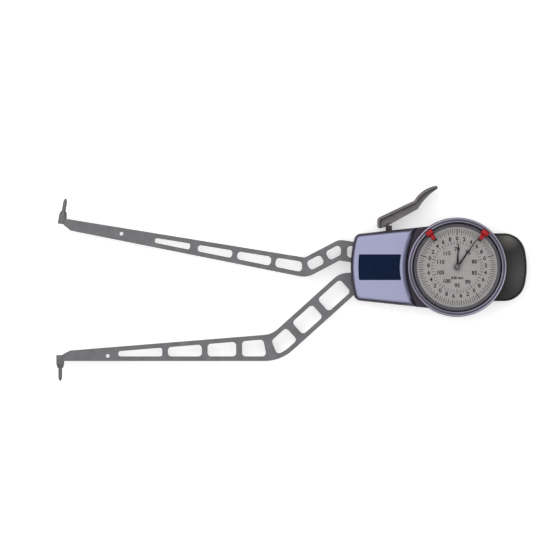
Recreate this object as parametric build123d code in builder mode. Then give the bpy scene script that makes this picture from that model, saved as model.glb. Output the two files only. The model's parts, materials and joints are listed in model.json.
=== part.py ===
from build123d import *
import os
from math import acos, atan2, cos, degrees, hypot, pi, radians, sin, sqrt, tan

os.makedirs("parts", exist_ok=True)

# Inside caliper gauge with two long arms, read from 70 to 120 mm.
# Millimetres. The dial axis is Z through the origin, the back face is Z = 0 and +Z leaves the dial.
# The gauge lies on its back, the arms reach towards -X and the thumb lever stands towards +Y.

# Levels through the thickness, from the back face forward
wall = 2.0
base_plate_back = 4.2
base_plate_thickness = 2.5
arm_seat_height = 0.5
arm_thickness = 4.0
sector_thickness = 1.2
bridge_gap = 8.3
bridge_thickness = 1.5
front_face = 21.5
bezel_floor = 18.2
bezel_lift = 0.3

# Bezel size and running room, which set the round end, the dish, the collar and the dial
bezel_radius = 32.4
bezel_wall = 1.5
round_end_proud = 0.4
dish_clearance = 0.4
collar_inset = 2.5
ring_fit = 0.1

# Housing outline, seen from the front
housing_left = -70.2
left_end_radius = 75.0
taper_start = -66.0
half_height_left = 22.3
side_taper = 5.8
round_radius = bezel_radius + round_end_proud
corner_radius = 4.5
edge_round = 3.2
back_edge_bevel = 1.8
dish_centre_x = 22.3
dish_slope = 60.0
dish_round = 4.0
dish_rim_slope = 12.0
dish_run = (front_face - bezel_floor) / tan(radians(dish_slope))
dish_radius = dish_centre_x + bezel_radius + dish_clearance + dish_run

# Bezel, crystal and dial
bezel_height = 10.5
bezel_lip = 1.2
bezel_edge = 0.5
rim_bead_width = 0.95
rim_slope = 0.35
lip_thickness = 0.5
lip_bead_height = 0.3
lip_bead_width = 0.7
collar_radius = bezel_radius - collar_inset
collar_wall = 2.3
collar_height = 3.0
collar_running_gap = 0.1
dial_gap = 0.3
dial_thickness = 0.6
dial_ring_height = 2.9
dial_ring_width = 4.2
dial_window_radius = bezel_radius - bezel_wall - ring_fit - dial_ring_width
dial_hole_radius = 1.7
dial_ring_slope = 1.9
seal_height = 0.6
snap_ring_height = 0.7
snap_ring_depth = 0.45
crystal_thickness = 1.4

# Tolerance markers, which slide on the crystal and clip round the bezel's lip
marker_angle = 39.0
marker_width = 5.4
marker_tongue_width = 3.0
marker_tip_radius = 22.3
marker_block_inset = 3.3
marker_block_thickness = 1.0
marker_tongue_height = 0.52
marker_gap = 0.08

# Arm pivot and travel, from the readings at rest and at the closed end
pivot = (-45.0, 5.5)
contact_reach = 217.1
rest_reading = 120.49
closed_reading = 70.0

# Arm blades: a tapered blade, a leg and a root, with windows between struts
# The moving arm's places are measured from its pivot, with the contacts parallel
rim = 3.1
window_corner = 2.3
arm_hole_radius = 1.2
blade_neck = 4.4
tip_chamfer = 5.0
fixed_edge_y = -62.0
fixed_blade_depth = 6.6
fixed_taper = 4.6
fixed_bend_x = -116.4
fixed_leg_angle = 42.0
fixed_leg_width = 17.1
fixed_root_top = -3.6
fixed_root_bottom = -15.6
fixed_root_end = -40.0
fixed_outer_bend = 28.0
fixed_inner_bend = 15.0
fixed_upper_knee = 14.0
fixed_lower_knee = 4.0
fixed_hole = (-230.7, -58.6)
fixed_windows = [(-223.7, -194.7), (-190.9, -168.6), (-164.7, -145.9)]
fixed_leg_windows = [(22.6, 40.3), (45.4, 65.1)]
fixed_bend_window = (-141.9, -128.0, -125.7)
fixed_bend_strut = (7.0, 17.4)
bend_strut_spread = 10.2
moving_edge_y = -8.0
moving_blade_depth = 7.1
moving_taper = 2.06
moving_bend_x = -51.5
moving_leg_angle = 36.9
moving_leg_width = 12.5
moving_root_top = 7.4
moving_root_bottom = -6.3
moving_outer_bend = 14.0
moving_inner_bend = 4.0
moving_upper_knee = 9.0
moving_lower_knee = 3.0
moving_hole = (-177.0, -11.9)
moving_windows = [(-154.5, -130.9), (-125.7, -102.7), (-99.2, -76.6)]
moving_bend_window = (-73.4, -56.4, -55.2)
moving_leg_window = (4.5, 14.9)
moving_knee_window = (18.7, -32.1)
moving_root_window = (-27.9, -14.0)
knee_strut_angle = 99.0
boss_radius = 7.0
tail_length = 13.0
tail_width = 9.0

# Contact points screwed into round holders at the blade tips
holder_radius = 2.65
holder_length = 5.8
holder_proud = 1.8
contact_length = 11.3
contact_collar_radius = 2.0
contact_collar_length = 2.6
contact_pin_radius = 1.3
contact_thread_radius = 1.2
contact_thread_length = 4.0
contact_ball_radius = 0.8
contact_step = 0.3
contact_taper = 1.2

# Thumb lever and the crank that links it to the moving arm
lever_pivot = (-45.0, 19.5)
arm_crank = 8.5
lever_crank = lever_pivot[1] - pivot[1] - arm_crank
lever_ratio = arm_crank / lever_crank
drive_pin_radius = 1.0
pin_ear_radius = 2.3
fork_gap = 0.06
lever_web = 4.6
lever_flange = 11.0
lever_rim = 1.7
lever_rim_shift = (1.5, -1.15)
lever_shoulder_radius = 2.4
fork_width = 5.8
fork_length = 7.3
fork_slot_start = 4.2
lever_hub_radius = 2.6
lever_pin_radius = 1.0
lever_tail_thickness = 2.0
lever_tail_gap = 0.4
lever_neck_width = 4.2
lever_left = -52.6
lever_foot_y = 25.0
lever_foot_right = -46.9
lever_top_slope = 25.3
lever_under_slope = 29.0
lever_bend_x = -28.2
lever_bend_y = 44.0
lever_under_bend_x = -25.7
lever_under_bend_y = 38.5
lever_tab_top = (-22.1, 50.6)
lever_tip_top = (-14.4, 53.8)
lever_tip = (-12.7, 52.9)
lever_tip_under = (-13.5, 51.4)
lever_tab_under = (-20.8, 45.2)

# Gear train: toothed sector, first pinion, second wheel, centre pinion, then the hour work
sector_module = 0.3
sector_teeth_full = 239
first_pinion_teeth = 10
train_module = 0.2
second_wheel_teeth = 91
centre_pinion_teeth = 8
hour_module = 0.2
cannon_teeth = 10
minute_wheel_teeth = 30
minute_pinion_teeth = 9
hour_wheel_teeth = 30
pressure_angle = 20.0
tooth_share = 0.93
minute_angle = 205.0
sector_margin = 2.6
sector_rim = 2.4
sector_hub_radius = 5.4
sector_screw_radius = 9.6
sector_screw_spread = 15.0
wheel_thickness = 0.7
pinion_overlap = 0.3
sector_to_wheel = 0.6
bridge_to_cannon = 0.4
cannon_length = 1.6
minute_wheel_lift = 0.7
minute_pinion_length = 2.0
hour_wheel_lift = 2.4

# Shafts, bushes, pillars and screws
pivot_shaft_radius = 2.5
pivot_bush_radius = 4.5
train_shaft_radius = 1.0
train_pivot_radius = 0.6
hand_arbor_radius = 0.5
hour_tube_wall = 0.55
stud_radius = 0.5
bush_radius = 2.0
bush_flange = 0.45
circlip_thickness = 0.6
circlip_width = 1.3
running_gap = 0.03
seat_gap = 0.02
pillar_radius = 2.2
screw_radius = 1.0
screw_head_radius = 1.8
screw_head_height = 1.0
post_radius = 2.4
post_inset_x = 10.2
post_y_left = 19.0
post_ring_radius = round_radius - 5.6
post_ring_angle = 48.0
shell_screw_radius = 1.1
shell_screw_head = 2.0
shell_screw_recess = 1.0
shell_screw_head_height = 1.2
shell_screw_reach = 13.0
stop_pin_radius = 1.5
stop_pin_foot = 1.0
stop_pin_reach = 11.3
stop_gap = 0.08
plate_gap = 0.3
bridge_edge = 3.0
bridge_screw_reach = 3.5
screw_slot = 0.5
root_pad_margin = 0.4

# Arm spring and hairspring
leaf_thickness = 0.4
leaf_height = 2.6
leaf_gap = 0.15
leaf_overhang = 0.15
leaf_anchor = (-17.0, 16.0)
anchor_size = 3.6
hairspring_strip = 0.2
hairspring_height = 0.9
hairspring_pitch = 1.0
hairspring_start = 2.2
hairspring_half_turns = 6
collet_radius = 2.0
hairspring_lift = 0.9
stud_block = 1.6

# Hands: one turn of the long hand is 5 mm and one turn of the short hand is 50 mm
long_hand_turn = 5.0
short_hand_turn = 50.0
short_hand_zero = 70.0
long_hand_length = 22.6
short_hand_length = 15.8
hand_thickness = 0.3
hand_hub_radius = 2.3
hand_root_width = 1.5
hand_tip_width = 0.5
hands_above_dial = 0.6
hands_apart = 0.6
hub_cap_height = 0.6

# Palm rest at the right end and the navy plate on the front face
palm_half_width = 22.4
palm_proud = 13.3
palm_reach = round_radius + palm_proud
palm_side_radius = 50.0
palm_corner = 14.0
palm_back = 1.0
palm_front = 17.4
palm_round = 2.4
palm_back_bevel = 1.0
plate_left = -65.2
plate_dish_margin = 3.1
plate_right_radius = dish_radius - dish_centre_x + plate_dish_margin
plate_height = 17.0
plate_left_radius = 80.0
plate_thickness = 0.35
plate_proud = 0.1
plate_corner = 0.8
palm_screw_y = 9.0
palm_screw_level = 12.2
palm_screw_reach = 5.0

# Openings in the shells' walls
slot_gap = 0.4
dish_margin = 0.6
back_boss_radius = 3.2
arm_slot_top = 18.2
arm_slot_bottom = -19.2
arm_slot_depth = 16.0
lever_slot_left = -48.0
lever_slot_right = -40.4
lever_slot_depth = 12.0

# Levels worked out from the ones above
snap_ring_back = bezel_floor + collar_height / 2
shell_screw_seat = shell_screw_recess + shell_screw_head_height
shell_screw_end = shell_screw_seat + shell_screw_reach
base_plate_front = base_plate_back + base_plate_thickness
arm_back = base_plate_front + arm_seat_height
arm_front = arm_back + arm_thickness
parting = arm_back + arm_thickness / 2
sector_front = arm_front + sector_thickness
bridge_back = base_plate_front + bridge_gap
bridge_front = bridge_back + bridge_thickness
collar_top = bezel_floor + collar_height
bezel_back = bezel_floor + bezel_lift
bezel_front = bezel_back + bezel_height
bezel_bore = bezel_radius - bezel_wall
dial_back = collar_top + dial_gap
dial_front = dial_back + dial_thickness
crystal_back = dial_front + dial_ring_height
crystal_front = crystal_back + crystal_thickness
marker_back = crystal_front + marker_gap
lip_back = marker_back + marker_tongue_height + marker_gap
lip_front = lip_back + lip_thickness
marker_block_back = lip_front + lip_bead_height + marker_gap
lever_tail_back = arm_front + lever_tail_gap
lever_tail_front = lever_tail_back + lever_tail_thickness
lever_middle = front_face / 2
wheel_back = sector_front + sector_to_wheel
wheel_front = wheel_back + wheel_thickness
cannon_back = bridge_front + bridge_to_cannon
minute_wheel_back = bridge_front + minute_wheel_lift
minute_pinion_front = minute_wheel_back + wheel_thickness + minute_pinion_length
hour_wheel_back = bridge_front + hour_wheel_lift
short_hand_back = dial_front + hands_above_dial
long_hand_back = short_hand_back + hand_thickness + hands_apart
hub_cap_front = long_hand_back + hand_thickness + hub_cap_height
hairspring_back = base_plate_front + hairspring_lift
sector_middle_level = arm_front + sector_thickness / 2

# Arm angles: the triangle of the pivot and the two contact tips at a reading
tip_height = moving_edge_y + holder_proud + contact_length
fixed_tip = (pivot[0] - contact_reach, fixed_edge_y - holder_proud - contact_length)
moving_tip_radius = hypot(contact_reach, tip_height)
fixed_tip_radius = hypot(fixed_tip[0] - pivot[0], fixed_tip[1] - pivot[1])


def arm_angle(reading):
    """How far the moving arm is turned from parallel contacts at a reading, counter-clockwise."""
    cosine = moving_tip_radius**2 + fixed_tip_radius**2 - reading**2
    between = acos(cosine / (2 * moving_tip_radius * fixed_tip_radius))
    fixed_direction = atan2(pivot[1] - fixed_tip[1], pivot[0] - fixed_tip[0])
    moving_direction = atan2(-tip_height, contact_reach)
    return degrees(fixed_direction - between - moving_direction)


open_angle = arm_angle(rest_reading)
arm_travel = arm_angle(closed_reading) - open_angle
lever_at_rest = lever_ratio * arm_travel / 2

# Gear centres: the second arbor stands where both centre distances are met
sector_radius = sector_module * sector_teeth_full / 2
first_distance = sector_radius + sector_module * first_pinion_teeth / 2
second_distance = train_module * (second_wheel_teeth + centre_pinion_teeth) / 2
pivot_to_dial = hypot(*pivot)
angle_at_pivot = degrees(
    acos((first_distance**2 + pivot_to_dial**2 - second_distance**2) / (2 * first_distance * pivot_to_dial))
)
mesh_angle = degrees(atan2(-pivot[1], -pivot[0])) + angle_at_pivot
second_arbor = (
    pivot[0] + first_distance * cos(radians(mesh_angle)),
    pivot[1] + first_distance * sin(radians(mesh_angle)),
)
sector_middle = mesh_angle - arm_travel / 2
minute_distance = hour_module * (cannon_teeth + minute_wheel_teeth) / 2
hour_wheel_module = 2 * minute_distance / (minute_pinion_teeth + hour_wheel_teeth)
minute_arbor = (
    minute_distance * cos(radians(minute_angle)),
    minute_distance * sin(radians(minute_angle)),
)

# Places shared by the shells, the plates and the screws
posts = [
    (housing_left + post_inset_x, post_y_left),
    (housing_left + post_inset_x, -post_y_left),
    (post_ring_radius * cos(radians(post_ring_angle)), post_ring_radius * sin(radians(post_ring_angle))),
    (post_ring_radius * cos(radians(post_ring_angle)), -post_ring_radius * sin(radians(post_ring_angle))),
]
pillars = [(-30.0, -12.5), (-24.0, 19.5), (11.0, 13.0), (10.0, -14.0)]
arm_screws = [(-59.0, -9.5), (-46.5, -9.5)]
palm_screws_at = [(palm_screw_y, palm_screw_level), (-palm_screw_y, palm_screw_level)]
palm_screw_seat = sqrt((round_radius - wall) ** 2 - (palm_screw_y + screw_head_radius) ** 2) - seat_gap


def line_meet(p, a, q, b):
    """Where the line through p at a degrees meets the line through q at b degrees."""
    ux, uy = cos(radians(a)), sin(radians(a))
    vx, vy = cos(radians(b)), sin(radians(b))
    t = ((q[0] - p[0]) * vy - (q[1] - p[1]) * vx) / (ux * vy - uy * vx)
    return (p[0] + t * ux, p[1] + t * uy)


def aside(p, a, distance):
    """The point at a distance to the left of p, for someone looking along a degrees."""
    return (p[0] - distance * sin(radians(a)), p[1] + distance * cos(radians(a)))


def along(p, a, distance):
    """The point at a distance from p in the direction of a degrees."""
    return (p[0] + distance * cos(radians(a)), p[1] + distance * sin(radians(a)))


def involute(angle):
    """The involute function of an angle in radians."""
    return tan(angle) - angle


def tooth_half_angle(radius, teeth, module):
    """Half of a tooth's angle in degrees at a radius, from the involute of its base circle."""
    pitch_radius = module * teeth / 2
    base_radius = pitch_radius * cos(radians(pressure_angle))
    at_radius = acos(min(1.0, base_radius / radius))
    half = tooth_share * pi / (2 * teeth) + involute(radians(pressure_angle)) - involute(at_radius)
    return degrees(half)


def tooth_points(middle, teeth, module, addendum, dedendum, steps):
    """One tooth's outline about the gear's centre, from root to tip and back, round the angle middle."""
    pitch_radius = module * teeth / 2
    tip = pitch_radius + addendum * module
    root = pitch_radius - dedendum * module
    flank_root = max(root, pitch_radius * cos(radians(pressure_angle)))
    radii = [flank_root + (tip - flank_root) * i / steps for i in range(steps + 1)]
    halves = [tooth_half_angle(r, teeth, module) for r in radii]
    if root < flank_root - 0.001:
        radii.insert(0, root)
        halves.insert(0, halves[0])
    rising = [along((0, 0), middle - h, r) for r, h in zip(radii, halves)]
    falling = [along((0, 0), middle + h, r) for r, h in zip(radii, halves)]
    return rising + falling[::-1]


def gear_points(teeth, module, addendum, dedendum, first_tooth, steps):
    """The closed outline of a gear about its centre, with a tooth at the angle first_tooth."""
    points = []
    for i in range(teeth):
        points += tooth_points(first_tooth + 360 * i / teeth, teeth, module, addendum, dedendum, steps)
    return points


def gear_face(plane, points, bore):
    """A gear's section in a plane, with its bore."""
    with BuildSketch(plane) as section:
        with BuildLine():
            Polyline(*points, close=True)
        make_face()
        if bore:
            Circle(bore, mode=Mode.SUBTRACT)
    return section.sketch


def disc(centre, radius, low, high):
    """A round bar along Z between two levels."""
    with BuildPart() as bar:
        with BuildSketch(Plane((centre[0], centre[1], low))):
            Circle(radius)
        extrude(amount=high - low)
    return bar.part


# Teeth of the wheels are short and those of the small pinions long, so that no pinion is undercut.
wheel_addendum = 0.5
wheel_dedendum = 1.2
pinion_addendum = 0.95
pinion_dedendum = 0.8


def turned(place, angle, centre):
    """A place turned about a centre by an angle in degrees."""
    dx, dy = place[0] - centre[0], place[1] - centre[1]
    c, s = cos(radians(angle)), sin(radians(angle))
    return (centre[0] + dx * c - dy * s, centre[1] + dx * s + dy * c)


# Stops: the tail of the moving arm swings between two pins, one on each side
tail_reach = (stop_pin_reach, tail_width / 2 + stop_gap + stop_pin_radius)
open_stop = turned((pivot[0] + tail_reach[0], pivot[1] - tail_reach[1]), sector_middle, pivot)
closed_stop = turned((pivot[0] + tail_reach[0], pivot[1] + tail_reach[1]), sector_middle + arm_travel, pivot)
stop_pin_places = [open_stop, closed_stop]
drive_pin_angle = 90 - arm_travel / 2
drive_pin_place = along(pivot, drive_pin_angle, arm_crank)


def rest_plane_place(place):
    """A place given from the arm's pivot with the contacts parallel, where it lies at rest."""
    return turned((pivot[0] + place[0], pivot[1] + place[1]), open_angle, pivot)


def fixed_root_pad():
    """The raised seat of the fixed arm on the base plate."""
    with BuildSketch() as pad:
        left = arm_screws[0][0] - screw_head_radius
        low = fixed_root_bottom + root_pad_margin
        high = fixed_root_top - root_pad_margin
        with Locations(((left + fixed_root_end) / 2, (low + high) / 2)):
            Rectangle(fixed_root_end - left, high - low)
    return pad.sketch


# Housing outline
def half_height(x):
    """Half the housing's height at x, on its straight tapered sides."""
    return half_height_left + (x - taper_start) * tan(radians(side_taper))


def housing_face(inset):
    """The housing's outline in the current plane, moved in by a wall: tapered body and round end."""
    with BuildSketch() as outline:
        with BuildLine():
            left_x = housing_left + inset
            end_y = half_height(left_x) - inset
            sagitta = left_end_radius - sqrt(left_end_radius**2 - end_y**2)
            right_y = half_height(0) - inset
            ThreePointArc((left_x + sagitta, end_y), (left_x, 0), (left_x + sagitta, -end_y))
            Polyline(
                (left_x + sagitta, -end_y),
                (0, -right_y),
                (0, right_y),
                (left_x + sagitta, end_y),
            )
        make_face()
        left_corners = outline.vertices().group_by(Axis.X)[0]
        fillet(left_corners, max(corner_radius - inset, 0.8))
        Circle(round_radius - inset)
    return outline.sketch


def plate_face(gap):
    """The outline of the plate on the front face: two straight sides between two arcs."""
    low, high = -plate_height / 2 + gap, plate_height / 2 - gap
    left = plate_left + gap
    right_radius = plate_right_radius + gap
    sagitta = plate_left_radius - sqrt(plate_left_radius**2 - high**2)
    right_end = -sqrt(right_radius**2 - high**2)
    with BuildSketch() as outline:
        with BuildLine():
            ThreePointArc((left + sagitta, high), (left, 0), (left + sagitta, low))
            Line((left + sagitta, low), (right_end, low))
            ThreePointArc((right_end, low), (-right_radius, 0), (right_end, high))
            Line((right_end, high), (left + sagitta, high))
        make_face()
        fillet(outline.vertices(), plate_corner)
    return outline.sketch


def dish_room(top):
    """The room in front of the dish up to a level: a flat floor, a sloping wall and a softly rounded rim."""
    foot = dish_radius - dish_run
    round_level = front_face - dish_round * cos(radians(dish_rim_slope))
    wall_end = round_level + dish_round * cos(radians(dish_slope))
    wall_end_radius = foot + (wall_end - bezel_floor) / tan(radians(dish_slope))
    round_centre = (wall_end_radius + dish_round * sin(radians(dish_slope)), round_level)
    middle = along(round_centre, 90 + (dish_slope + dish_rim_slope) / 2, dish_round)
    rim_edge = along(round_centre, 90 + dish_rim_slope, dish_round)
    beyond = along(rim_edge, dish_rim_slope, wall)
    with BuildPart() as room:
        with BuildSketch(Plane((dish_centre_x, 0, 0), x_dir=(1, 0, 0), z_dir=(0, -1, 0))):
            with BuildLine():
                Polyline((0, top), (0, bezel_floor), (foot, bezel_floor), (wall_end_radius, wall_end))
                ThreePointArc((wall_end_radius, wall_end), middle, rim_edge)
                Polyline(rim_edge, beyond, (beyond[0], top), (0, top))
            make_face()
        revolve(axis=Axis((dish_centre_x, 0, 0), (0, 0, 1)))
    return room.part


def front_void(plane_z, height):
    """The room inside the front shell under the dish and beside it, as a part to take away."""
    with BuildPart() as room:
        with BuildSketch(Plane.XY.offset(parting)):
            add(housing_face(wall))
        extrude(amount=plane_z - parting)
        with BuildSketch(Plane.XY.offset(plane_z)):
            add(housing_face(wall))
            with Locations((dish_centre_x, 0)):
                Circle(dish_radius + dish_margin, mode=Mode.SUBTRACT)
        extrude(amount=height)
    return room.part


def slot_cutter():
    """The openings for the two arms in the left wall and for the lever's neck in the top wall."""
    with BuildPart() as cutter:
        with BuildSketch(Plane.XY.offset(arm_back - slot_gap)):
            with Locations((housing_left, (arm_slot_top + arm_slot_bottom) / 2)):
                Rectangle(arm_slot_depth, arm_slot_top - arm_slot_bottom)
        extrude(amount=arm_thickness + 2 * slot_gap)
        with BuildSketch(Plane.XY.offset(lever_middle - lever_web / 2 - slot_gap)):
            with Locations(((lever_slot_left + lever_slot_right) / 2, lever_pivot[1] + lever_slot_depth / 2)):
                Rectangle(lever_slot_right - lever_slot_left, lever_slot_depth)
        extrude(amount=lever_web + 2 * slot_gap)
    return cutter.part


# Back shell: a tray with bevelled back edges, bosses under the base plate and sunk screw heads
with BuildPart() as back_shell:
    with BuildSketch(Plane.XY):
        add(housing_face(0))
    extrude(amount=parting)
    chamfer(back_shell.faces().sort_by(Axis.Z)[0].edges(), back_edge_bevel)
    with BuildSketch(Plane.XY.offset(wall)):
        add(housing_face(wall))
    extrude(amount=parting - wall, mode=Mode.SUBTRACT)
    with BuildSketch(Plane.XY.offset(wall)):
        with Locations(*posts):
            Circle(back_boss_radius)
        add(housing_face(wall), mode=Mode.INTERSECT)
    extrude(amount=base_plate_back - wall)
    with BuildSketch(Plane.XY):
        with Locations(*posts):
            Circle(shell_screw_head + slot_gap / 2)
    extrude(amount=shell_screw_seat, mode=Mode.SUBTRACT)
    with BuildSketch(Plane.XY):
        with Locations(*posts):
            Circle(shell_screw_radius + seat_gap)
    extrude(amount=base_plate_back, mode=Mode.SUBTRACT)
    add(slot_cutter(), mode=Mode.SUBTRACT)
back_shell.part.label = "back_shell"
export_step(back_shell.part, "parts/back_shell.step")

# Front shell: tapered body with rounded edges, a dish that falls to the dial, and the bezel's collar
with BuildPart() as front_shell:
    with BuildSketch(Plane.XY.offset(parting)):
        add(housing_face(0))
    extrude(amount=front_face - parting)
    fillet(front_shell.faces().sort_by(Axis.Z)[-1].edges(), edge_round)
    add(dish_room(front_face + wall), mode=Mode.SUBTRACT)
    add(front_void(bridge_front + slot_gap, front_face - wall - bridge_front - slot_gap), mode=Mode.SUBTRACT)
    with BuildSketch(Plane.XY.offset(bezel_floor)):
        Circle(collar_radius)
    extrude(amount=collar_height)
    with BuildSketch(Plane.XY.offset(base_plate_front)):
        with Locations(*posts):
            Circle(post_radius)
        add(housing_face(wall + plate_gap), mode=Mode.INTERSECT)
    extrude(amount=bezel_floor - base_plate_front)
    with BuildSketch(Plane.XY.offset(bezel_floor)):
        with Locations(*posts[:2]):
            Circle(post_radius)
        add(housing_face(wall + plate_gap), mode=Mode.INTERSECT)
    extrude(amount=front_face - wall - bezel_floor)
    with BuildSketch(Plane.XY.offset(bridge_front + slot_gap)):
        Circle(collar_radius - collar_wall)
    extrude(amount=collar_top - bridge_front - slot_gap, mode=Mode.SUBTRACT)
    with BuildSketch(Plane.XY.offset(base_plate_front)):
        with Locations(*posts):
            Circle(shell_screw_radius + seat_gap)
    extrude(amount=shell_screw_end + slot_gap - base_plate_front, mode=Mode.SUBTRACT)
    with BuildSketch(Plane.XY.offset(snap_ring_back - running_gap)):
        Circle(collar_radius)
        Circle(collar_radius - snap_ring_depth, mode=Mode.SUBTRACT)
    extrude(amount=snap_ring_height + 2 * running_gap, mode=Mode.SUBTRACT)
    with BuildSketch(Plane.XY.offset(front_face + plate_proud - plate_thickness)):
        add(plate_face(0))
    extrude(amount=plate_thickness, mode=Mode.SUBTRACT)
    add(slot_cutter(), mode=Mode.SUBTRACT)
    with BuildSketch(Plane.YZ.offset(palm_screw_seat)):
        with Locations(*palm_screws_at):
            Circle(screw_radius + seat_gap)
    extrude(amount=2 * wall + screw_head_radius, mode=Mode.SUBTRACT)
front_shell.part.label = "front_shell"
export_step(front_shell.part, "parts/front_shell.step")

# Plate on the front face, sunk into a shallow recess
with BuildPart() as face_plate:
    with BuildSketch(Plane.XY.offset(front_face + plate_proud - plate_thickness)):
        add(plate_face(seat_gap))
    extrude(amount=plate_thickness)
face_plate.part.label = "face_plate"
export_step(face_plate.part, "parts/face_plate.step")

# Palm rest: a rounded pad with a softened front rim, cut away where the round end of the housing stands
with BuildPart() as palm_rest:
    with BuildSketch(Plane.XY.offset(palm_back)) as palm_outline:
        with Locations((palm_reach, 0)):
            Rectangle(2 * palm_reach, 2 * palm_half_width)
        with Locations((palm_reach - palm_side_radius, 0)):
            Circle(palm_side_radius, mode=Mode.INTERSECT)
        fillet(palm_outline.vertices().group_by(Axis.X)[-1], palm_corner)
    extrude(amount=palm_front - palm_back)
    fillet(palm_rest.faces().sort_by(Axis.Z)[-1].edges(), palm_round)
    chamfer(palm_rest.faces().sort_by(Axis.Z)[0].edges(), palm_back_bevel)
    with BuildSketch(Plane.XY):
        Circle(round_radius + seat_gap)
    extrude(amount=front_face, mode=Mode.SUBTRACT)
    with BuildSketch(Plane.YZ):
        with Locations(*palm_screws_at):
            Circle(screw_radius + seat_gap)
    extrude(amount=round_radius + palm_screw_reach + seat_gap, mode=Mode.SUBTRACT)
palm_rest.part.label = "palm_rest"
export_step(palm_rest.part, "parts/palm_rest.step")

# Screws that hold the palm rest, put in from inside the round end
with BuildPart() as palm_screws:
    with BuildSketch(Plane.YZ.offset(palm_screw_seat)):
        with Locations(*palm_screws_at):
            Circle(screw_head_radius)
    extrude(amount=-screw_head_height)
    with BuildSketch(Plane.YZ.offset(palm_screw_seat)):
        with Locations(*palm_screws_at):
            Circle(screw_radius)
    extrude(amount=round_radius + palm_screw_reach - palm_screw_seat)
palm_screws.part.label = "palm_screws"
export_step(palm_screws.part, "parts/palm_screws.step")


# Plates of the movement
with BuildPart() as base_plate:
    with BuildSketch(Plane.XY.offset(base_plate_back)):
        add(housing_face(wall + plate_gap))
    extrude(amount=base_plate_thickness)
    with BuildSketch(Plane.XY.offset(base_plate_front)):
        add(fixed_root_pad())
    extrude(amount=arm_seat_height)
    with BuildSketch(Plane.XY.offset(base_plate_back)):
        with Locations(*posts):
            Circle(shell_screw_radius + slot_gap / 2)
        with Locations(*pillars):
            Circle(screw_radius + seat_gap)
        with Locations(pivot):
            Circle(pivot_bush_radius - bush_flange + seat_gap)
        with Locations((0, 0), second_arbor):
            Circle(bush_radius + seat_gap)
        with Locations(lever_pivot):
            Circle(lever_pin_radius + seat_gap)
        with Locations(*stop_pin_places):
            Circle(stop_pin_foot + seat_gap)
        with Locations(*arm_screws):
            Circle(screw_radius + seat_gap)
    extrude(amount=base_plate_thickness + arm_seat_height, mode=Mode.SUBTRACT)
base_plate.part.label = "base_plate"
export_step(base_plate.part, "parts/base_plate.step")

with BuildPart() as bridge:
    with BuildSketch(Plane.XY.offset(bridge_back)):
        with Locations(*pillars):
            Circle(bridge_edge)
        with Locations(pivot):
            Circle(pivot_bush_radius + 1)
        with Locations(lever_pivot):
            Circle(lever_hub_radius)
        make_hull()
        with Locations(*pillars):
            Circle(screw_radius + seat_gap, mode=Mode.SUBTRACT)
        with Locations(pivot):
            Circle(pivot_bush_radius - bush_flange + seat_gap, mode=Mode.SUBTRACT)
        with Locations((0, 0), second_arbor):
            Circle(bush_radius + seat_gap, mode=Mode.SUBTRACT)
        with Locations(lever_pivot):
            Circle(lever_pin_radius + seat_gap, mode=Mode.SUBTRACT)
        with Locations(minute_arbor):
            Circle(stud_radius + seat_gap, mode=Mode.SUBTRACT)
    extrude(amount=bridge_thickness)
    with BuildSketch(Plane.XY.offset(bridge_front)):
        with Locations(*pillars):
            Circle(screw_head_radius + seat_gap)
    extrude(amount=-screw_head_height, mode=Mode.SUBTRACT)
bridge.part.label = "bridge"
export_step(bridge.part, "parts/bridge.step")

# Pillars between the plates, with a spigot into each plate's hole at the back
with BuildPart() as bridge_pillars:
    with BuildSketch(Plane.XY.offset(base_plate_front)):
        with Locations(*pillars):
            Circle(pillar_radius)
    extrude(amount=bridge_gap)
    with BuildSketch(Plane.XY.offset(base_plate_back)):
        with Locations(*pillars):
            Circle(screw_radius)
    extrude(amount=base_plate_thickness)
    with BuildSketch(Plane.XY.offset(bridge_back)):
        with Locations(*pillars):
            Circle(screw_radius + seat_gap)
    extrude(amount=-bridge_screw_reach - seat_gap, mode=Mode.SUBTRACT)
bridge_pillars.part.label = "bridge_pillars"
export_step(bridge_pillars.part, "parts/bridge_pillars.step")


def screws(places, seat, head_height, head_radius, shank_radius, reach):
    """Cheese-head screws with their heads on a level; a negative height puts the heads at the back."""
    sign = 1 if head_height > 0 else -1
    with BuildPart() as group:
        with BuildSketch(Plane.XY.offset(seat)):
            with Locations(*places):
                Circle(head_radius)
        extrude(amount=head_height)
        if head_height < 0:
            with BuildSketch(Plane.XY.offset(seat + head_height)):
                with Locations(*places):
                    Rectangle(2 * head_radius, screw_slot)
            extrude(amount=-head_height / 2, mode=Mode.SUBTRACT)
        with BuildSketch(Plane.XY.offset(seat)):
            with Locations(*places):
                Circle(shank_radius)
        extrude(amount=-sign * reach)
    return group.part


bridge_screws = screws(pillars, bridge_front - screw_head_height, screw_head_height, screw_head_radius,
                       screw_radius, bridge_thickness - screw_head_height + bridge_screw_reach)
bridge_screws.label = "bridge_screws"
export_step(bridge_screws, "parts/bridge_screws.step")

arm_root_screws = screws(arm_screws, arm_front, screw_head_height, screw_head_radius, screw_radius,
                         arm_front - base_plate_back)
arm_root_screws.label = "arm_root_screws"
export_step(arm_root_screws, "parts/arm_root_screws.step")

shell_screws = screws(posts, shell_screw_seat, -shell_screw_head_height,
                      shell_screw_head, shell_screw_radius, shell_screw_reach)
shell_screws.label = "shell_screws"
export_step(shell_screws, "parts/shell_screws.step")


# Arms
def blade_window(left, right, near_edge, far_edge):
    """A window in a blade between two struts, with its long sides on the two rim lines."""
    return [
        line_meet((left, 0), 90, *near_edge),
        line_meet((right, 0), 90, *near_edge),
        line_meet((right, 0), 90, *far_edge),
        line_meet((left, 0), 90, *far_edge),
    ]


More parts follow.
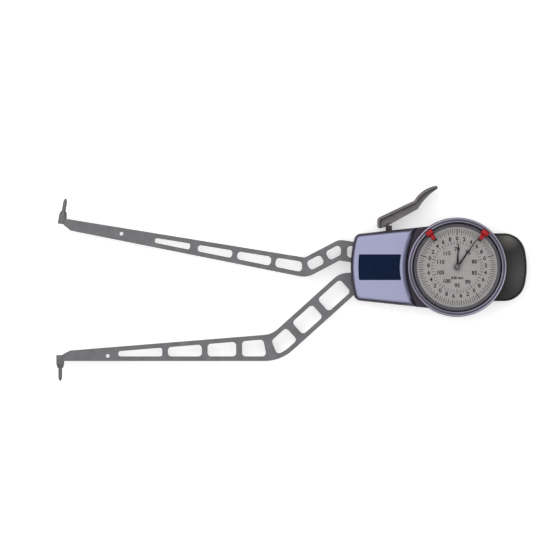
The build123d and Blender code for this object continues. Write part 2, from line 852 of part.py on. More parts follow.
def leg_window(corner, angle, width, low, high):
    """A window in a leg between two distances from the leg's corner, with square struts."""
    near = aside(corner, angle, rim)
    far = aside(corner, angle, width - rim)
    return [along(near, angle, low), along(near, angle, high), along(far, angle, high), along(far, angle, low)]


def cut_windows(windows):
    """The windows' area, each with its corners rounded as far as its height allows."""
    with BuildSketch() as area:
        for corners in windows:
            with BuildSketch(mode=Mode.PRIVATE) as window:
                with BuildLine():
                    Polyline(*corners, close=True)
                make_face()
                height = min(edge.length for edge in window.edges())
                fillet(window.vertices(), min(window_corner, 0.45 * height))
            add(window.sketch)
    return area.sketch


def bend_window(corners, outline):
    """A window whose outer side keeps the rim of the outline's rounded bend."""
    with BuildSketch() as window:
        with BuildLine():
            Polyline(*corners, close=True)
        make_face()
        add(offset(outline, amount=-rim, mode=Mode.PRIVATE), mode=Mode.INTERSECT)
        for corner in corners:
            round_corner(window, corner, window_corner)
    return window.sketch


def round_corner(sketch, place, radius):
    """Round the corner of a sketch that lies nearest to a place."""
    corner = sketch.vertices().sort_by_distance((place[0], place[1], 0))[0]
    fillet(corner, radius)


# Fixed arm: a tapered blade, a leg that climbs to the housing and a root clamped on the base plate
blade_end = fixed_tip[0] + holder_radius * 0.6
bottom_line = ((0, fixed_edge_y), 0)
top_line = ((blade_end, fixed_edge_y + fixed_blade_depth), fixed_taper)
outer_bend = (fixed_bend_x, fixed_edge_y)
leg_top_line = (aside(outer_bend, fixed_leg_angle, fixed_leg_width), fixed_leg_angle)
inner_bend = line_meet(*top_line, *leg_top_line)
upper_knee = line_meet((0, fixed_root_top), 0, *leg_top_line)
lower_knee = line_meet((0, fixed_root_bottom), 0, outer_bend, fixed_leg_angle)
blade_top_rim = (aside(*top_line, -rim), fixed_taper)
blade_bottom_rim = (aside(*bottom_line, rim), 0)
leg_top_rim = (aside(outer_bend, fixed_leg_angle, fixed_leg_width - rim), fixed_leg_angle)
bend_left, bend_top, bend_bottom = fixed_bend_window
bend_strut_top = line_meet((bend_top, 0), 90, *blade_top_rim)
bend_strut_bottom = line_meet((bend_bottom, 0), 90, *blade_bottom_rim)
strut_side = degrees(atan2(bend_strut_top[1] - bend_strut_bottom[1], bend_strut_top[0] - bend_strut_bottom[0]))
strut_line = (aside(bend_strut_bottom, strut_side, -fixed_bend_strut[0]), strut_side + bend_strut_spread)
leg_start = aside(along(outer_bend, fixed_leg_angle, fixed_bend_strut[1]), fixed_leg_angle, 0)
leg_start_line = (leg_start, fixed_leg_angle + 90)

fixed_window_corners = [blade_window(a, b, blade_top_rim, blade_bottom_rim) for a, b in fixed_windows]
fixed_window_corners.append([
    line_meet((bend_left, 0), 90, *blade_top_rim),
    bend_strut_top,
    bend_strut_bottom,
    line_meet((bend_left, 0), 90, *blade_bottom_rim),
])
fixed_bend_corners = [
    line_meet(*strut_line, *leg_top_rim),
    line_meet(*leg_start_line, *leg_top_rim),
    line_meet(*leg_start_line, outer_bend, fixed_leg_angle),
    line_meet(*strut_line, outer_bend, fixed_leg_angle),
]
fixed_window_corners += [
    leg_window(outer_bend, fixed_leg_angle, fixed_leg_width, a, b) for a, b in fixed_leg_windows
]

with BuildPart() as fixed_arm:
    with BuildSketch(Plane.XY.offset(arm_back)) as fixed_outline:
        with BuildLine():
            Polyline(
                (blade_end, fixed_edge_y),
                outer_bend,
                lower_knee,
                (fixed_root_end, fixed_root_bottom),
                (fixed_root_end, fixed_root_top),
                upper_knee,
                inner_bend,
                line_meet((blade_end + tip_chamfer, 0), 90, *top_line),
                (blade_end, fixed_edge_y + blade_neck),
                close=True,
            )
        make_face()
        round_corner(fixed_outline, outer_bend, fixed_outer_bend)
        round_corner(fixed_outline, inner_bend, fixed_inner_bend)
        round_corner(fixed_outline, upper_knee, fixed_upper_knee)
        round_corner(fixed_outline, lower_knee, fixed_lower_knee)
        bend = bend_window(fixed_bend_corners, fixed_outline.sketch_local)
        add(cut_windows(fixed_window_corners), mode=Mode.SUBTRACT)
        add(bend, mode=Mode.SUBTRACT)
        with Locations(fixed_hole):
            Circle(arm_hole_radius, mode=Mode.SUBTRACT)
        with Locations(*arm_screws):
            Circle(screw_radius + seat_gap, mode=Mode.SUBTRACT)
    extrude(amount=arm_thickness)
    with BuildSketch(Plane((fixed_tip[0], fixed_edge_y - holder_proud, parting), z_dir=(0, 1, 0))):
        Circle(holder_radius)
    extrude(amount=holder_length)
    with BuildSketch(Plane((fixed_tip[0], fixed_edge_y - holder_proud, parting), z_dir=(0, 1, 0))):
        Circle(contact_thread_radius + seat_gap)
    extrude(amount=contact_thread_length + seat_gap, mode=Mode.SUBTRACT)
fixed_arm.part.label = "fixed_arm"
export_step(fixed_arm.part, "parts/fixed_arm.step")

# Moving arm, drawn from its pivot with the contacts parallel and then turned to where it rests
outer_left = -contact_reach + holder_radius * 0.6
upper_line = ((0, moving_edge_y), 0)
under_line = ((outer_left, moving_edge_y - moving_blade_depth), -moving_taper)
under_bend = line_meet((moving_bend_x, 0), 90, *under_line)
leg_under_line = (under_bend, moving_leg_angle)
leg_upper_line = (aside(under_bend, moving_leg_angle, moving_leg_width), moving_leg_angle)
upper_bend = line_meet(*upper_line, *leg_upper_line)
top_knee = line_meet((0, moving_root_top), 0, *leg_upper_line)
under_knee = line_meet((0, moving_root_bottom), 0, *leg_under_line)
upper_rim = ((0, moving_edge_y - rim), 0)
under_rim = (aside(*under_line, rim), -moving_taper)
bend_left, bend_upper, bend_under = moving_bend_window
root_left, root_right = moving_root_window
root_high, root_low = moving_root_top - rim, moving_root_bottom + rim
knee_left, knee_right = moving_knee_window
leg_upper_rim = (aside(under_bend, moving_leg_angle, moving_leg_width - rim), moving_leg_angle)
leg_under_rim = (aside(under_bend, moving_leg_angle, rim), moving_leg_angle)
knee_start_line = (along(under_bend, moving_leg_angle, knee_left), moving_leg_angle + 90)
knee_end_line = ((knee_right, 0), knee_strut_angle)
root_start_line = ((root_left, 0), knee_strut_angle)

moving_window_corners = [blade_window(a, b, upper_rim, under_rim) for a, b in moving_windows]
moving_window_corners.append([
    line_meet((bend_left, 0), 90, *upper_rim),
    line_meet((bend_upper, 0), 90, *upper_rim),
    line_meet((bend_under, 0), 90, *under_rim),
    line_meet((bend_left, 0), 90, *under_rim),
])
moving_window_corners.append(leg_window(under_bend, moving_leg_angle, moving_leg_width, *moving_leg_window))
moving_window_corners.append([
    line_meet(*knee_start_line, *leg_under_rim),
    line_meet(*knee_end_line, *leg_under_rim),
    line_meet(*knee_end_line, *leg_upper_rim),
    line_meet(*knee_start_line, *leg_upper_rim),
])
moving_window_corners.append([
    line_meet(*root_start_line, (0, root_high), 0),
    (root_right, root_high),
    (root_right, root_low),
    line_meet(*root_start_line, (0, root_low), 0),
])
tail_angle = sector_middle - open_angle
rest_plane = Plane((pivot[0], pivot[1], arm_back), x_dir=(cos(radians(open_angle)), sin(radians(open_angle)), 0))
sector_screws_at = [
    along((0, 0), tail_angle + side * sector_screw_spread, sector_screw_radius) for side in (-1, 1)
]
pin_at = along((0, 0), drive_pin_angle - open_angle, arm_crank)

with BuildPart() as moving_arm:
    with BuildSketch(rest_plane) as moving_outline:
        with BuildLine():
            Polyline(
                (outer_left, moving_edge_y),
                (outer_left, moving_edge_y - blade_neck),
                line_meet((outer_left + tip_chamfer, 0), 90, *under_line),
                under_bend,
                under_knee,
                (0, moving_root_bottom),
                (0, moving_root_top),
                top_knee,
                upper_bend,
                close=True,
            )
        make_face()
        round_corner(moving_outline, under_bend, moving_outer_bend)
        round_corner(moving_outline, upper_bend, moving_inner_bend)
        round_corner(moving_outline, top_knee, moving_upper_knee)
        round_corner(moving_outline, under_knee, moving_lower_knee)
        Circle(boss_radius)
        with Locations(along((0, 0), tail_angle, tail_length / 2)):
            Rectangle(tail_length, tail_width, rotation=tail_angle)
        with BuildLine():
            Polyline(
                along((0, 0), drive_pin_angle - open_angle + 90, pin_ear_radius),
                along(pin_at, drive_pin_angle - open_angle + 90, pin_ear_radius),
                along(pin_at, drive_pin_angle - open_angle - 90, pin_ear_radius),
                along((0, 0), drive_pin_angle - open_angle - 90, pin_ear_radius),
                close=True,
            )
        make_face()
        with Locations(pin_at):
            Circle(pin_ear_radius)
            Circle(drive_pin_radius + seat_gap, mode=Mode.SUBTRACT)
        add(cut_windows(moving_window_corners), mode=Mode.SUBTRACT)
        with Locations(moving_hole):
            Circle(arm_hole_radius, mode=Mode.SUBTRACT)
        Circle(pivot_shaft_radius + seat_gap, mode=Mode.SUBTRACT)
        with Locations(*sector_screws_at):
            Circle(screw_radius + seat_gap, mode=Mode.SUBTRACT)
    extrude(amount=arm_thickness)
    holder_plane = Plane(
        rest_plane.from_local_coords((-contact_reach, moving_edge_y + holder_proud, arm_thickness / 2)),
        x_dir=rest_plane.x_dir,
        z_dir=-rest_plane.y_dir,
    )
    with BuildSketch(holder_plane):
        Circle(holder_radius)
    extrude(amount=holder_length)
    with BuildSketch(holder_plane):
        Circle(contact_thread_radius + seat_gap)
    extrude(amount=contact_thread_length + seat_gap, mode=Mode.SUBTRACT)
moving_arm.part.label = "moving_arm"
export_step(moving_arm.part, "parts/moving_arm.step")


# Contacts: a threaded shank in the holder, a tapered collar, a pin and a hard dome at its tip
def contact_pin(plane):
    """A contact turned about its axis: the plane's y axis leaves the arm, its origin is the holder's end."""
    dome_seat = contact_length - contact_ball_radius
    with BuildPart() as pin:
        with BuildSketch(plane):
            with BuildLine():
                Polyline(
                    (0, -contact_thread_length),
                    (contact_thread_radius, -contact_thread_length),
                    (contact_thread_radius, seat_gap),
                    (holder_radius, seat_gap),
                    (contact_collar_radius, contact_collar_length),
                    (contact_pin_radius, contact_collar_length + contact_step),
                    (contact_pin_radius, dome_seat - contact_taper),
                    (contact_ball_radius, dome_seat),
                    (0, dome_seat),
                    close=True,
                )
            make_face()
        revolve(axis=Axis(plane.origin, plane.y_dir))
    return pin.part


def contact_dome(plane):
    """The hard dome brazed on a contact's tip."""
    centre = contact_length - contact_ball_radius
    seat = centre + seat_gap
    seat_radius = sqrt(contact_ball_radius**2 - seat_gap**2)
    shoulder = along((0, centre), 45, contact_ball_radius)
    with BuildPart() as dome:
        with BuildSketch(plane):
            with BuildLine():
                Polyline((0, contact_length), (0, seat), (seat_radius, seat))
                ThreePointArc((seat_radius, seat), shoulder, (0, contact_length))
            make_face()
        revolve(axis=Axis(plane.origin, plane.y_dir))
    return dome.part


fixed_contact_plane = Plane(
    (fixed_tip[0], fixed_edge_y - holder_proud, parting), x_dir=(-1, 0, 0), z_dir=(0, 0, 1)
)
moving_contact_plane = Plane(holder_plane.origin, x_dir=rest_plane.x_dir, z_dir=rest_plane.z_dir)
for name, plane in (("fixed_contact", fixed_contact_plane), ("moving_contact", moving_contact_plane)):
    pin = contact_pin(plane)
    pin.label = name
    export_step(pin, f"parts/{name}.step")
    dome = contact_dome(plane)
    dome.label = name + "_ball"
    export_step(dome, f"parts/{name}_ball.step")


# Sector screwed on the arm's tail, and its two screws
sector_root = sector_radius - wheel_dedendum * sector_module
sector_low = mesh_angle - arm_travel - sector_margin
sector_high = mesh_angle + sector_margin
tooth_pitch_angle = 360 / sector_teeth_full
tooth_count = int((sector_high - mesh_angle) / tooth_pitch_angle - 0.5)
tooth_angles = []
tooth_angle = mesh_angle + tooth_count * tooth_pitch_angle
while tooth_angle - tooth_pitch_angle / 2 > sector_low:
    tooth_angles.insert(0, tooth_angle)
    tooth_angle -= tooth_pitch_angle
window_outer = sector_root - sector_rim
window_inner = tail_length + sector_rim

with BuildPart() as sector:
    with BuildSketch(Plane.XY.offset(arm_front)):
        with BuildLine():
            rim_points = [along(pivot, sector_low, sector_root)]
            for angle in tooth_angles:
                rim_points += [
                    (pivot[0] + x, pivot[1] + y)
                    for x, y in tooth_points(
                        angle, sector_teeth_full, sector_module, wheel_addendum, wheel_dedendum, 1
                    )
                ]
            rim_points.append(along(pivot, sector_high, sector_root))
            Polyline(*rim_points)
            Polyline(
                rim_points[-1],
                aside(pivot, sector_high, sector_hub_radius),
                aside(pivot, sector_low, -sector_hub_radius),
                rim_points[0],
            )
        make_face()
        with Locations(pivot):
            Circle(sector_hub_radius)
            Circle(pivot_shaft_radius + seat_gap, mode=Mode.SUBTRACT)
        with BuildLine():
            inset = sector_margin
            low_out = along(pivot, sector_low + inset, window_outer)
            high_out = along(pivot, sector_high - inset, window_outer)
            middle_out = along(pivot, sector_middle, window_outer)
            low_in = along(pivot, sector_low + inset, window_inner)
            high_in = along(pivot, sector_high - inset, window_inner)
            ThreePointArc(low_out, middle_out, high_out)
            Polyline(high_out, high_in, low_in, low_out)
        make_face(mode=Mode.SUBTRACT)
        with Locations(*[rest_plane_place(place) for place in sector_screws_at]):
            Circle(screw_radius + seat_gap, mode=Mode.SUBTRACT)
    extrude(amount=sector_thickness)
sector.part.label = "sector"
export_step(sector.part, "parts/sector.step")

sector_screws = screws([rest_plane_place(place) for place in sector_screws_at], sector_front,
                       screw_head_height, screw_head_radius, screw_radius, sector_front - arm_back)
sector_screws.label = "sector_screws"
export_step(sector_screws, "parts/sector_screws.step")

# Pivot shaft through both plates, its bushes and the clip on its front end
pivot_shaft_back = base_plate_back + seat_gap
circlip_back = bridge_front + seat_gap
pivot_shaft_front = circlip_back + 2 * circlip_thickness
with BuildPart() as pivot_shaft:
    with BuildSketch(Plane.XY.offset(pivot_shaft_back)):
        with Locations(pivot):
            Circle(pivot_shaft_radius)
    extrude(amount=pivot_shaft_front - pivot_shaft_back)
    with BuildSketch(Plane.XY.offset(circlip_back)):
        with Locations(pivot):
            Circle(pivot_shaft_radius)
            Circle(pivot_shaft_radius - circlip_width / 3, mode=Mode.SUBTRACT)
    extrude(amount=circlip_thickness, mode=Mode.SUBTRACT)
pivot_shaft.part.label = "pivot_shaft"
export_step(pivot_shaft.part, "parts/pivot_shaft.step")

with BuildPart() as pivot_clip:
    with BuildSketch(Plane.XY.offset(circlip_back + seat_gap)):
        with Locations(pivot):
            Circle(pivot_shaft_radius + circlip_width)
            Circle(pivot_shaft_radius - circlip_width / 3 + seat_gap, mode=Mode.SUBTRACT)
        with Locations((pivot[0] - pivot_shaft_radius, pivot[1])):
            Rectangle(2 * circlip_width, circlip_width, mode=Mode.SUBTRACT)
    extrude(amount=circlip_thickness - 2 * seat_gap)
pivot_clip.part.label = "pivot_clip"
export_step(pivot_clip.part, "parts/pivot_clip.step")


def bush(centre, outer, bore, low, high, flange_low):
    """A flanged bush: the barrel between two levels and a flange from a level up or down."""
    with BuildPart() as part:
        with BuildSketch(Plane((centre[0], centre[1], low))):
            Circle(outer)
        extrude(amount=high - low)
        if flange_low is not None:
            with BuildSketch(Plane((centre[0], centre[1], flange_low))):
                Circle(outer + bush_flange)
            extrude(amount=bush_flange)
        with BuildSketch(Plane((centre[0], centre[1], low - bush_flange))):
            Circle(bore)
        extrude(amount=high - low + 2 * bush_flange, mode=Mode.SUBTRACT)
    return part.part


bush_outer = pivot_bush_radius - bush_flange
bush_bore = pivot_shaft_radius + running_gap
pivot_bush_back = bush(pivot, bush_outer, bush_bore, base_plate_back, base_plate_front, base_plate_front)
pivot_bush_back.label = "pivot_bush_back"
export_step(pivot_bush_back, "parts/pivot_bush_back.step")
pivot_bush_front = bush(pivot, bush_outer, bush_bore, bridge_back, bridge_front, bridge_back - bush_flange)
pivot_bush_front.label = "pivot_bush_front"
export_step(pivot_bush_front, "parts/pivot_bush_front.step")

# Drive pin in the arm's ear, which turns the lever's fork
drive_pin = disc(drive_pin_place, drive_pin_radius, arm_back, lever_tail_front + seat_gap + bush_flange)
drive_pin.label = "drive_pin"
export_step(drive_pin, "parts/drive_pin.step")

# Stop pins, each with a thin foot in the base plate
with BuildPart() as stop_pins:
    with BuildSketch(Plane.XY.offset(base_plate_front)):
        with Locations(*stop_pin_places):
            Circle(stop_pin_radius)
    extrude(amount=arm_front - plate_gap - base_plate_front)
    with BuildSketch(Plane.XY.offset(base_plate_back)):
        with Locations(*stop_pin_places):
            Circle(stop_pin_foot)
    extrude(amount=base_plate_thickness)
stop_pins.part.label = "stop_pins"
export_step(stop_pins.part, "parts/stop_pins.step")

# Thumb lever: a web with a deep rim along its end and top, a hub on its pin and a fork below
lever_top_end = (lever_bend_x, lever_bend_y)
lever_under_end = (lever_under_bend_x, lever_under_bend_y)
foot_left = (lever_left, lever_foot_y)
foot_right = line_meet((lever_foot_right, 0), 90, lever_under_end, lever_under_slope)
shoulder = line_meet((lever_left, 0), 90, lever_top_end, lever_top_slope)
fork_angle = -90 + lever_at_rest


def lever_face():
    """The lever's outline: straight stem, bent thumb tab with a rounded tip."""
    with BuildSketch() as outline:
        with BuildLine():
            Polyline(lever_under_end, foot_right, foot_left, shoulder, lever_top_end)
            ThreePointArc(lever_top_end, lever_tab_top, lever_tip_top)
            ThreePointArc(lever_tip_top, lever_tip, lever_tip_under)
            ThreePointArc(lever_tip_under, lever_tab_under, lever_under_end)
        make_face()
        round_corner(outline, shoulder, lever_shoulder_radius)
        round_corner(outline, foot_left, lever_rim)
    return outline.sketch


lever_outline = lever_face()
with BuildPart() as thumb_lever:
    with BuildSketch(Plane.XY.offset(base_plate_front + plate_gap)):
        with Locations(lever_pivot):
            Circle(lever_hub_radius)
    extrude(amount=bridge_gap - 2 * plate_gap)
    with BuildSketch(Plane.XY.offset(lever_tail_back)):
        with Locations(along(lever_pivot, fork_angle, fork_length / 2)):
            Rectangle(fork_length, fork_width, rotation=fork_angle)
        with Locations(along(lever_pivot, fork_angle, (fork_length + fork_slot_start) / 2)):
            Rectangle(fork_length - fork_slot_start, 2 * (drive_pin_radius + fork_gap), rotation=fork_angle,
                      mode=Mode.SUBTRACT)
    extrude(amount=lever_tail_thickness)
    with BuildSketch(Plane.XY.offset(lever_middle - lever_web / 2)):
        add(lever_outline)
        with Locations((lever_pivot[0], (lever_pivot[1] + foot_right[1]) / 2)):
            Rectangle(lever_neck_width, foot_right[1] - lever_pivot[1] + lever_rim)
    extrude(amount=lever_web)
    with BuildSketch(Plane.XY.offset(lever_middle - lever_flange / 2)):
        add(lever_outline)
        with Locations(lever_rim_shift):
            add(lever_outline, mode=Mode.SUBTRACT)
    extrude(amount=lever_flange)
    with BuildSketch(Plane.XY.offset(base_plate_front)):
        with Locations(lever_pivot):
            Circle(lever_pin_radius + running_gap)
    extrude(amount=bridge_gap, mode=Mode.SUBTRACT)
thumb_lever.part.label = "thumb_lever"
export_step(thumb_lever.part, "parts/thumb_lever.step")

lever_pin = disc(lever_pivot, lever_pin_radius, base_plate_back, bridge_front)
lever_pin.label = "lever_pin"
export_step(lever_pin, "parts/lever_pin.step")


# Gear train: first pinion and second wheel on one arbor, then the centre arbor with its pinion
def toothed_wheel(centre, low, thickness, points, bore):
    """A wheel or pinion cut through its thickness, drawn about its own centre."""
    with BuildPart() as wheel:
        add(extrude(gear_face(Plane((centre[0], centre[1], low)), points, bore), amount=thickness))
    return wheel.part


def stepped_shaft(centre, steps):
    """A turned shaft about a centre, from a list of levels and the radius up to each."""
    with BuildPart() as shaft:
        low = steps[0]
        for high, radius in steps[1:]:
            with BuildSketch(Plane((centre[0], centre[1], low))):
                Circle(radius)
            extrude(amount=high - low)
            low = high
    return shaft.part


pinion_back = sector_middle_level - sector_thickness / 2 - pinion_overlap
second_mesh = degrees(atan2(-second_arbor[1], -second_arbor[0]))
first_pinion_points = gear_points(
    first_pinion_teeth, sector_module, pinion_addendum, pinion_dedendum,
    mesh_angle + 180 + 180 / first_pinion_teeth, 4,
)
with BuildPart() as pinion_arbor:
    add(toothed_wheel(second_arbor, pinion_back, wheel_back - pinion_back, first_pinion_points, 0))
    add(stepped_shaft(second_arbor, [
        base_plate_back + seat_gap,
        (base_plate_front + bush_flange + running_gap, train_pivot_radius),
        (pinion_back, train_shaft_radius),
    ]))
    add(stepped_shaft(second_arbor, [
        wheel_back,
        (bridge_back - running_gap, train_shaft_radius),
        (bridge_front - seat_gap, train_pivot_radius),
    ]))
pinion_arbor.part.label = "pinion_arbor"
export_step(pinion_arbor.part, "parts/pinion_arbor.step")

second_wheel_points = gear_points(
    second_wheel_teeth, train_module, wheel_addendum, wheel_dedendum, second_mesh, 1
)
second_wheel = toothed_wheel(
    second_arbor, wheel_back, wheel_thickness, second_wheel_points, train_shaft_radius + seat_gap
)
second_wheel.label = "second_wheel"
export_step(second_wheel, "parts/second_wheel.step")

centre_pinion_points = gear_points(
    centre_pinion_teeth, train_module, pinion_addendum, pinion_dedendum,
    second_mesh + 180 + 180 / centre_pinion_teeth, 4,
)
with BuildPart() as centre_arbor:
    add(toothed_wheel((0, 0), wheel_back - pinion_overlap, wheel_thickness + 2 * pinion_overlap,
                      centre_pinion_points, 0))
    add(stepped_shaft((0, 0), [base_plate_back + seat_gap, (wheel_back - pinion_overlap, hand_arbor_radius)]))
    add(stepped_shaft((0, 0), [wheel_front + pinion_overlap, (hub_cap_front, hand_arbor_radius)]))
centre_arbor.part.label = "centre_arbor"
export_step(centre_arbor.part, "parts/centre_arbor.step")

# Bushes of the train, pressed into both plates
for name, low, high in (
    ("train_bushes_back", base_plate_back, base_plate_front),
    ("train_bushes_front", bridge_back, bridge_front),
):
    with BuildPart() as train_bushes:
        with BuildSketch(Plane.XY.offset(low)):
            with Locations((0, 0), second_arbor):
                Circle(bush_radius)
            Circle(hand_arbor_radius + running_gap, mode=Mode.SUBTRACT)
            with Locations(second_arbor):
                Circle(train_pivot_radius + running_gap, mode=Mode.SUBTRACT)
        extrude(amount=high - low)
    train_bushes.part.label = name
    export_step(train_bushes.part, f"parts/{name}.step")

# Hour work on the bridge: cannon pinion, minute wheel and pinion on a stud, and the hour wheel
cannon_points = gear_points(cannon_teeth, hour_module, pinion_addendum, pinion_dedendum, minute_angle, 3)
cannon_pinion = toothed_wheel((0, 0), cannon_back, cannon_length, cannon_points, hand_arbor_radius + seat_gap)
cannon_pinion.label = "cannon_pinion"
export_step(cannon_pinion, "parts/cannon_pinion.step")

minute_wheel_points = gear_points(
    minute_wheel_teeth, hour_module, wheel_addendum, wheel_dedendum,
    minute_angle + 180 + 180 / minute_wheel_teeth, 1,
)
minute_wheel = toothed_wheel(
    minute_arbor, minute_wheel_back, wheel_thickness, minute_wheel_points, stud_radius + running_gap
)
minute_wheel.label = "minute_wheel"
export_step(minute_wheel, "parts/minute_wheel.step")

minute_pinion_points = gear_points(
    minute_pinion_teeth, hour_wheel_module, pinion_addendum, pinion_dedendum, minute_angle + 180, 3
)
minute_pinion = toothed_wheel(
    minute_arbor, minute_wheel_back + wheel_thickness, minute_pinion_length, minute_pinion_points,
    stud_radius + running_gap,
)
minute_pinion.label = "minute_pinion"
export_step(minute_pinion, "parts/minute_pinion.step")

minute_stud = disc(minute_arbor, stud_radius, bridge_back, minute_pinion_front)
minute_stud.label = "minute_stud"
export_step(minute_stud, "parts/minute_stud.step")

hour_bore = hand_arbor_radius + running_gap
hour_tube_radius = hour_bore + hour_tube_wall
hour_wheel_points = gear_points(
    hour_wheel_teeth, hour_wheel_module, wheel_addendum, wheel_dedendum,
    minute_angle + 180 / hour_wheel_teeth, 1,
)
with BuildPart() as hour_wheel:
    add(toothed_wheel((0, 0), hour_wheel_back, wheel_thickness, hour_wheel_points, hour_bore))
    with BuildSketch(Plane.XY.offset(hour_wheel_back + wheel_thickness)):
        Circle(hour_tube_radius)
        Circle(hour_bore, mode=Mode.SUBTRACT)
    extrude(amount=short_hand_back + hand_thickness - hour_wheel_back - wheel_thickness)
hour_wheel.part.label = "hour_wheel"
export_step(hour_wheel.part, "parts/hour_wheel.step")


# Hands: a round boss and a needle that narrows to its tip
def hand(low, length, angle, boss, bore, height):
    """A hand about the dial axis, pointing in a direction."""
    root = hand_root_width / 2
    tip = hand_tip_width / 2
    with BuildPart() as part:
        with BuildSketch(Plane((0, 0, low), x_dir=(cos(radians(angle)), sin(radians(angle)), 0))):
            with BuildLine():
                Polyline((0, root), (0, -root), (length - tip, -tip), (length, 0), (length - tip, tip), close=True)
            make_face()
            Circle(boss)
            Circle(bore, mode=Mode.SUBTRACT)
        extrude(amount=height)
    return part.part


long_hand_angle = 90 - 360 * (rest_reading % long_hand_turn) / long_hand_turn
short_hand_angle = 90 - 360 * (rest_reading - short_hand_zero) / short_hand_turn
long_hand = hand(long_hand_back, long_hand_length, long_hand_angle, hand_hub_radius,
                 hand_arbor_radius + seat_gap, hand_thickness)
long_hand.label = "long_hand"
export_step(long_hand, "parts/long_hand.step")
short_hand = hand(short_hand_back, short_hand_length, short_hand_angle, hand_hub_radius,
                  hour_tube_radius + seat_gap, hand_thickness)
short_hand.label = "short_hand"
export_step(short_hand, "parts/short_hand.step")

# Hub cap over the long hand's boss
with BuildPart() as hand_cap:
    with BuildSketch(Plane.XY.offset(long_hand_back + hand_thickness)):
        Circle(hand_hub_radius)
        Circle(hand_arbor_radius + seat_gap, mode=Mode.SUBTRACT)
    extrude(amount=hub_cap_front - long_hand_back - hand_thickness)
hand_cap.part.label = "hand_cap"
export_step(hand_cap.part, "parts/hand_cap.step")

# Leaf spring that holds the arms open, and its anchor on the base plate
tail_side = turned((pivot[0] + tail_length, pivot[1] + tail_width / 2), sector_middle, pivot)
leaf_level = (arm_back + arm_front - leaf_height) / 2
leaf_angle = degrees(atan2(leaf_anchor[1] - tail_side[1], leaf_anchor[0] - tail_side[0]))
leaf_start = aside(along(tail_side, leaf_angle, -leaf_overhang), leaf_angle, leaf_thickness / 2 + leaf_gap)
leaf_length = hypot(leaf_anchor[0] - tail_side[0], leaf_anchor[1] - tail_side[1]) + leaf_overhang
leaf_middle = along(leaf_start, leaf_angle, leaf_length / 2)
with BuildPart() as arm_spring:
    with BuildSketch(Plane.XY.offset(leaf_level)):
        with Locations(leaf_middle):
            Rectangle(leaf_length, leaf_thickness, rotation=leaf_angle)
    extrude(amount=leaf_height)
arm_spring.part.label = "arm_spring"
export_step(arm_spring.part, "parts/arm_spring.step")

with BuildPart() as spring_anchor:
    with BuildSketch(Plane.XY.offset(base_plate_front)):
        with Locations(aside(leaf_anchor, leaf_angle, leaf_thickness / 2 + leaf_gap)):
            Rectangle(anchor_size, anchor_size, rotation=leaf_angle)
    extrude(amount=leaf_level + leaf_height - base_plate_front)
    with BuildSketch(Plane.XY.offset(leaf_level - seat_gap)):
        with Locations(leaf_middle):
            Rectangle(leaf_length + seat_gap, leaf_thickness + 2 * seat_gap, rotation=leaf_angle)
    extrude(amount=leaf_height + 2 * seat_gap, mode=Mode.SUBTRACT)
spring_anchor.part.label = "spring_anchor"
export_step(spring_anchor.part, "parts/spring_anchor.step")


# Hairspring that takes up the play of the teeth: half circles whose radius grows by half a pitch
def spiral_ends(offset_out):
    """Where each half circle of the spiral starts and ends, for one side of the strip."""
    ends = []
    for i in range(hairspring_half_turns + 1):
        reach = hairspring_start + i * hairspring_pitch / 2 + offset_out
        ends.append(reach if i % 2 == 0 else -reach)
    return ends


def spiral_arc(start, end, upper):
    """One half circle of the spiral between two places on its middle line."""
    middle, radius = (start + end) / 2, abs(end - start) / 2
    ThreePointArc((start, 0), (middle, radius if upper else -radius), (end, 0))


outer_ends = spiral_ends(hairspring_strip / 2)
inner_ends = spiral_ends(-hairspring_strip / 2)
with BuildPart() as hairspring:
    with BuildSketch(Plane((second_arbor[0], second_arbor[1], hairspring_back))):
        with BuildLine():
            for i in range(hairspring_half_turns):
                spiral_arc(outer_ends[i], outer_ends[i + 1], i % 2 == 0)
            Line((outer_ends[-1], 0), (inner_ends[-1], 0))
            for i in reversed(range(hairspring_half_turns)):
                spiral_arc(inner_ends[i + 1], inner_ends[i], i % 2 == 0)
            Line((inner_ends[0], 0), (outer_ends[0], 0))
        make_face()
    extrude(amount=hairspring_height)
hairspring.part.label = "hairspring"
export_step(hairspring.part, "parts/hairspring.step")

with BuildPart() as hairspring_collet:
    with BuildSketch(Plane((second_arbor[0], second_arbor[1], hairspring_back))):
        Circle(collet_radius)
        Circle(train_shaft_radius + seat_gap, mode=Mode.SUBTRACT)
    extrude(amount=hairspring_height)
hairspring_collet.part.label = "hairspring_collet"
export_step(hairspring_collet.part, "parts/hairspring_collet.step")

with BuildPart() as hairspring_stud:
    with BuildSketch(Plane((second_arbor[0] + outer_ends[-1], second_arbor[1], base_plate_front))):
        with Locations((stud_block / 2 + seat_gap, 0)):
            Rectangle(stud_block, stud_block)
    extrude(amount=hairspring_back + hairspring_height - base_plate_front)
hairspring_stud.part.label = "hairspring_stud"
export_step(hairspring_stud.part, "parts/hairspring_stud.step")


# Bezel and what turns with it
def ring(profile):
    """A ring about the dial axis from the corners of its section, given as radius and level."""
    with BuildPart() as turned_ring:
        with BuildSketch(Plane.XZ):
            with BuildLine():
                Polyline(*profile, close=True)
            make_face()
        revolve(axis=Axis.Z)
    return turned_ring.part


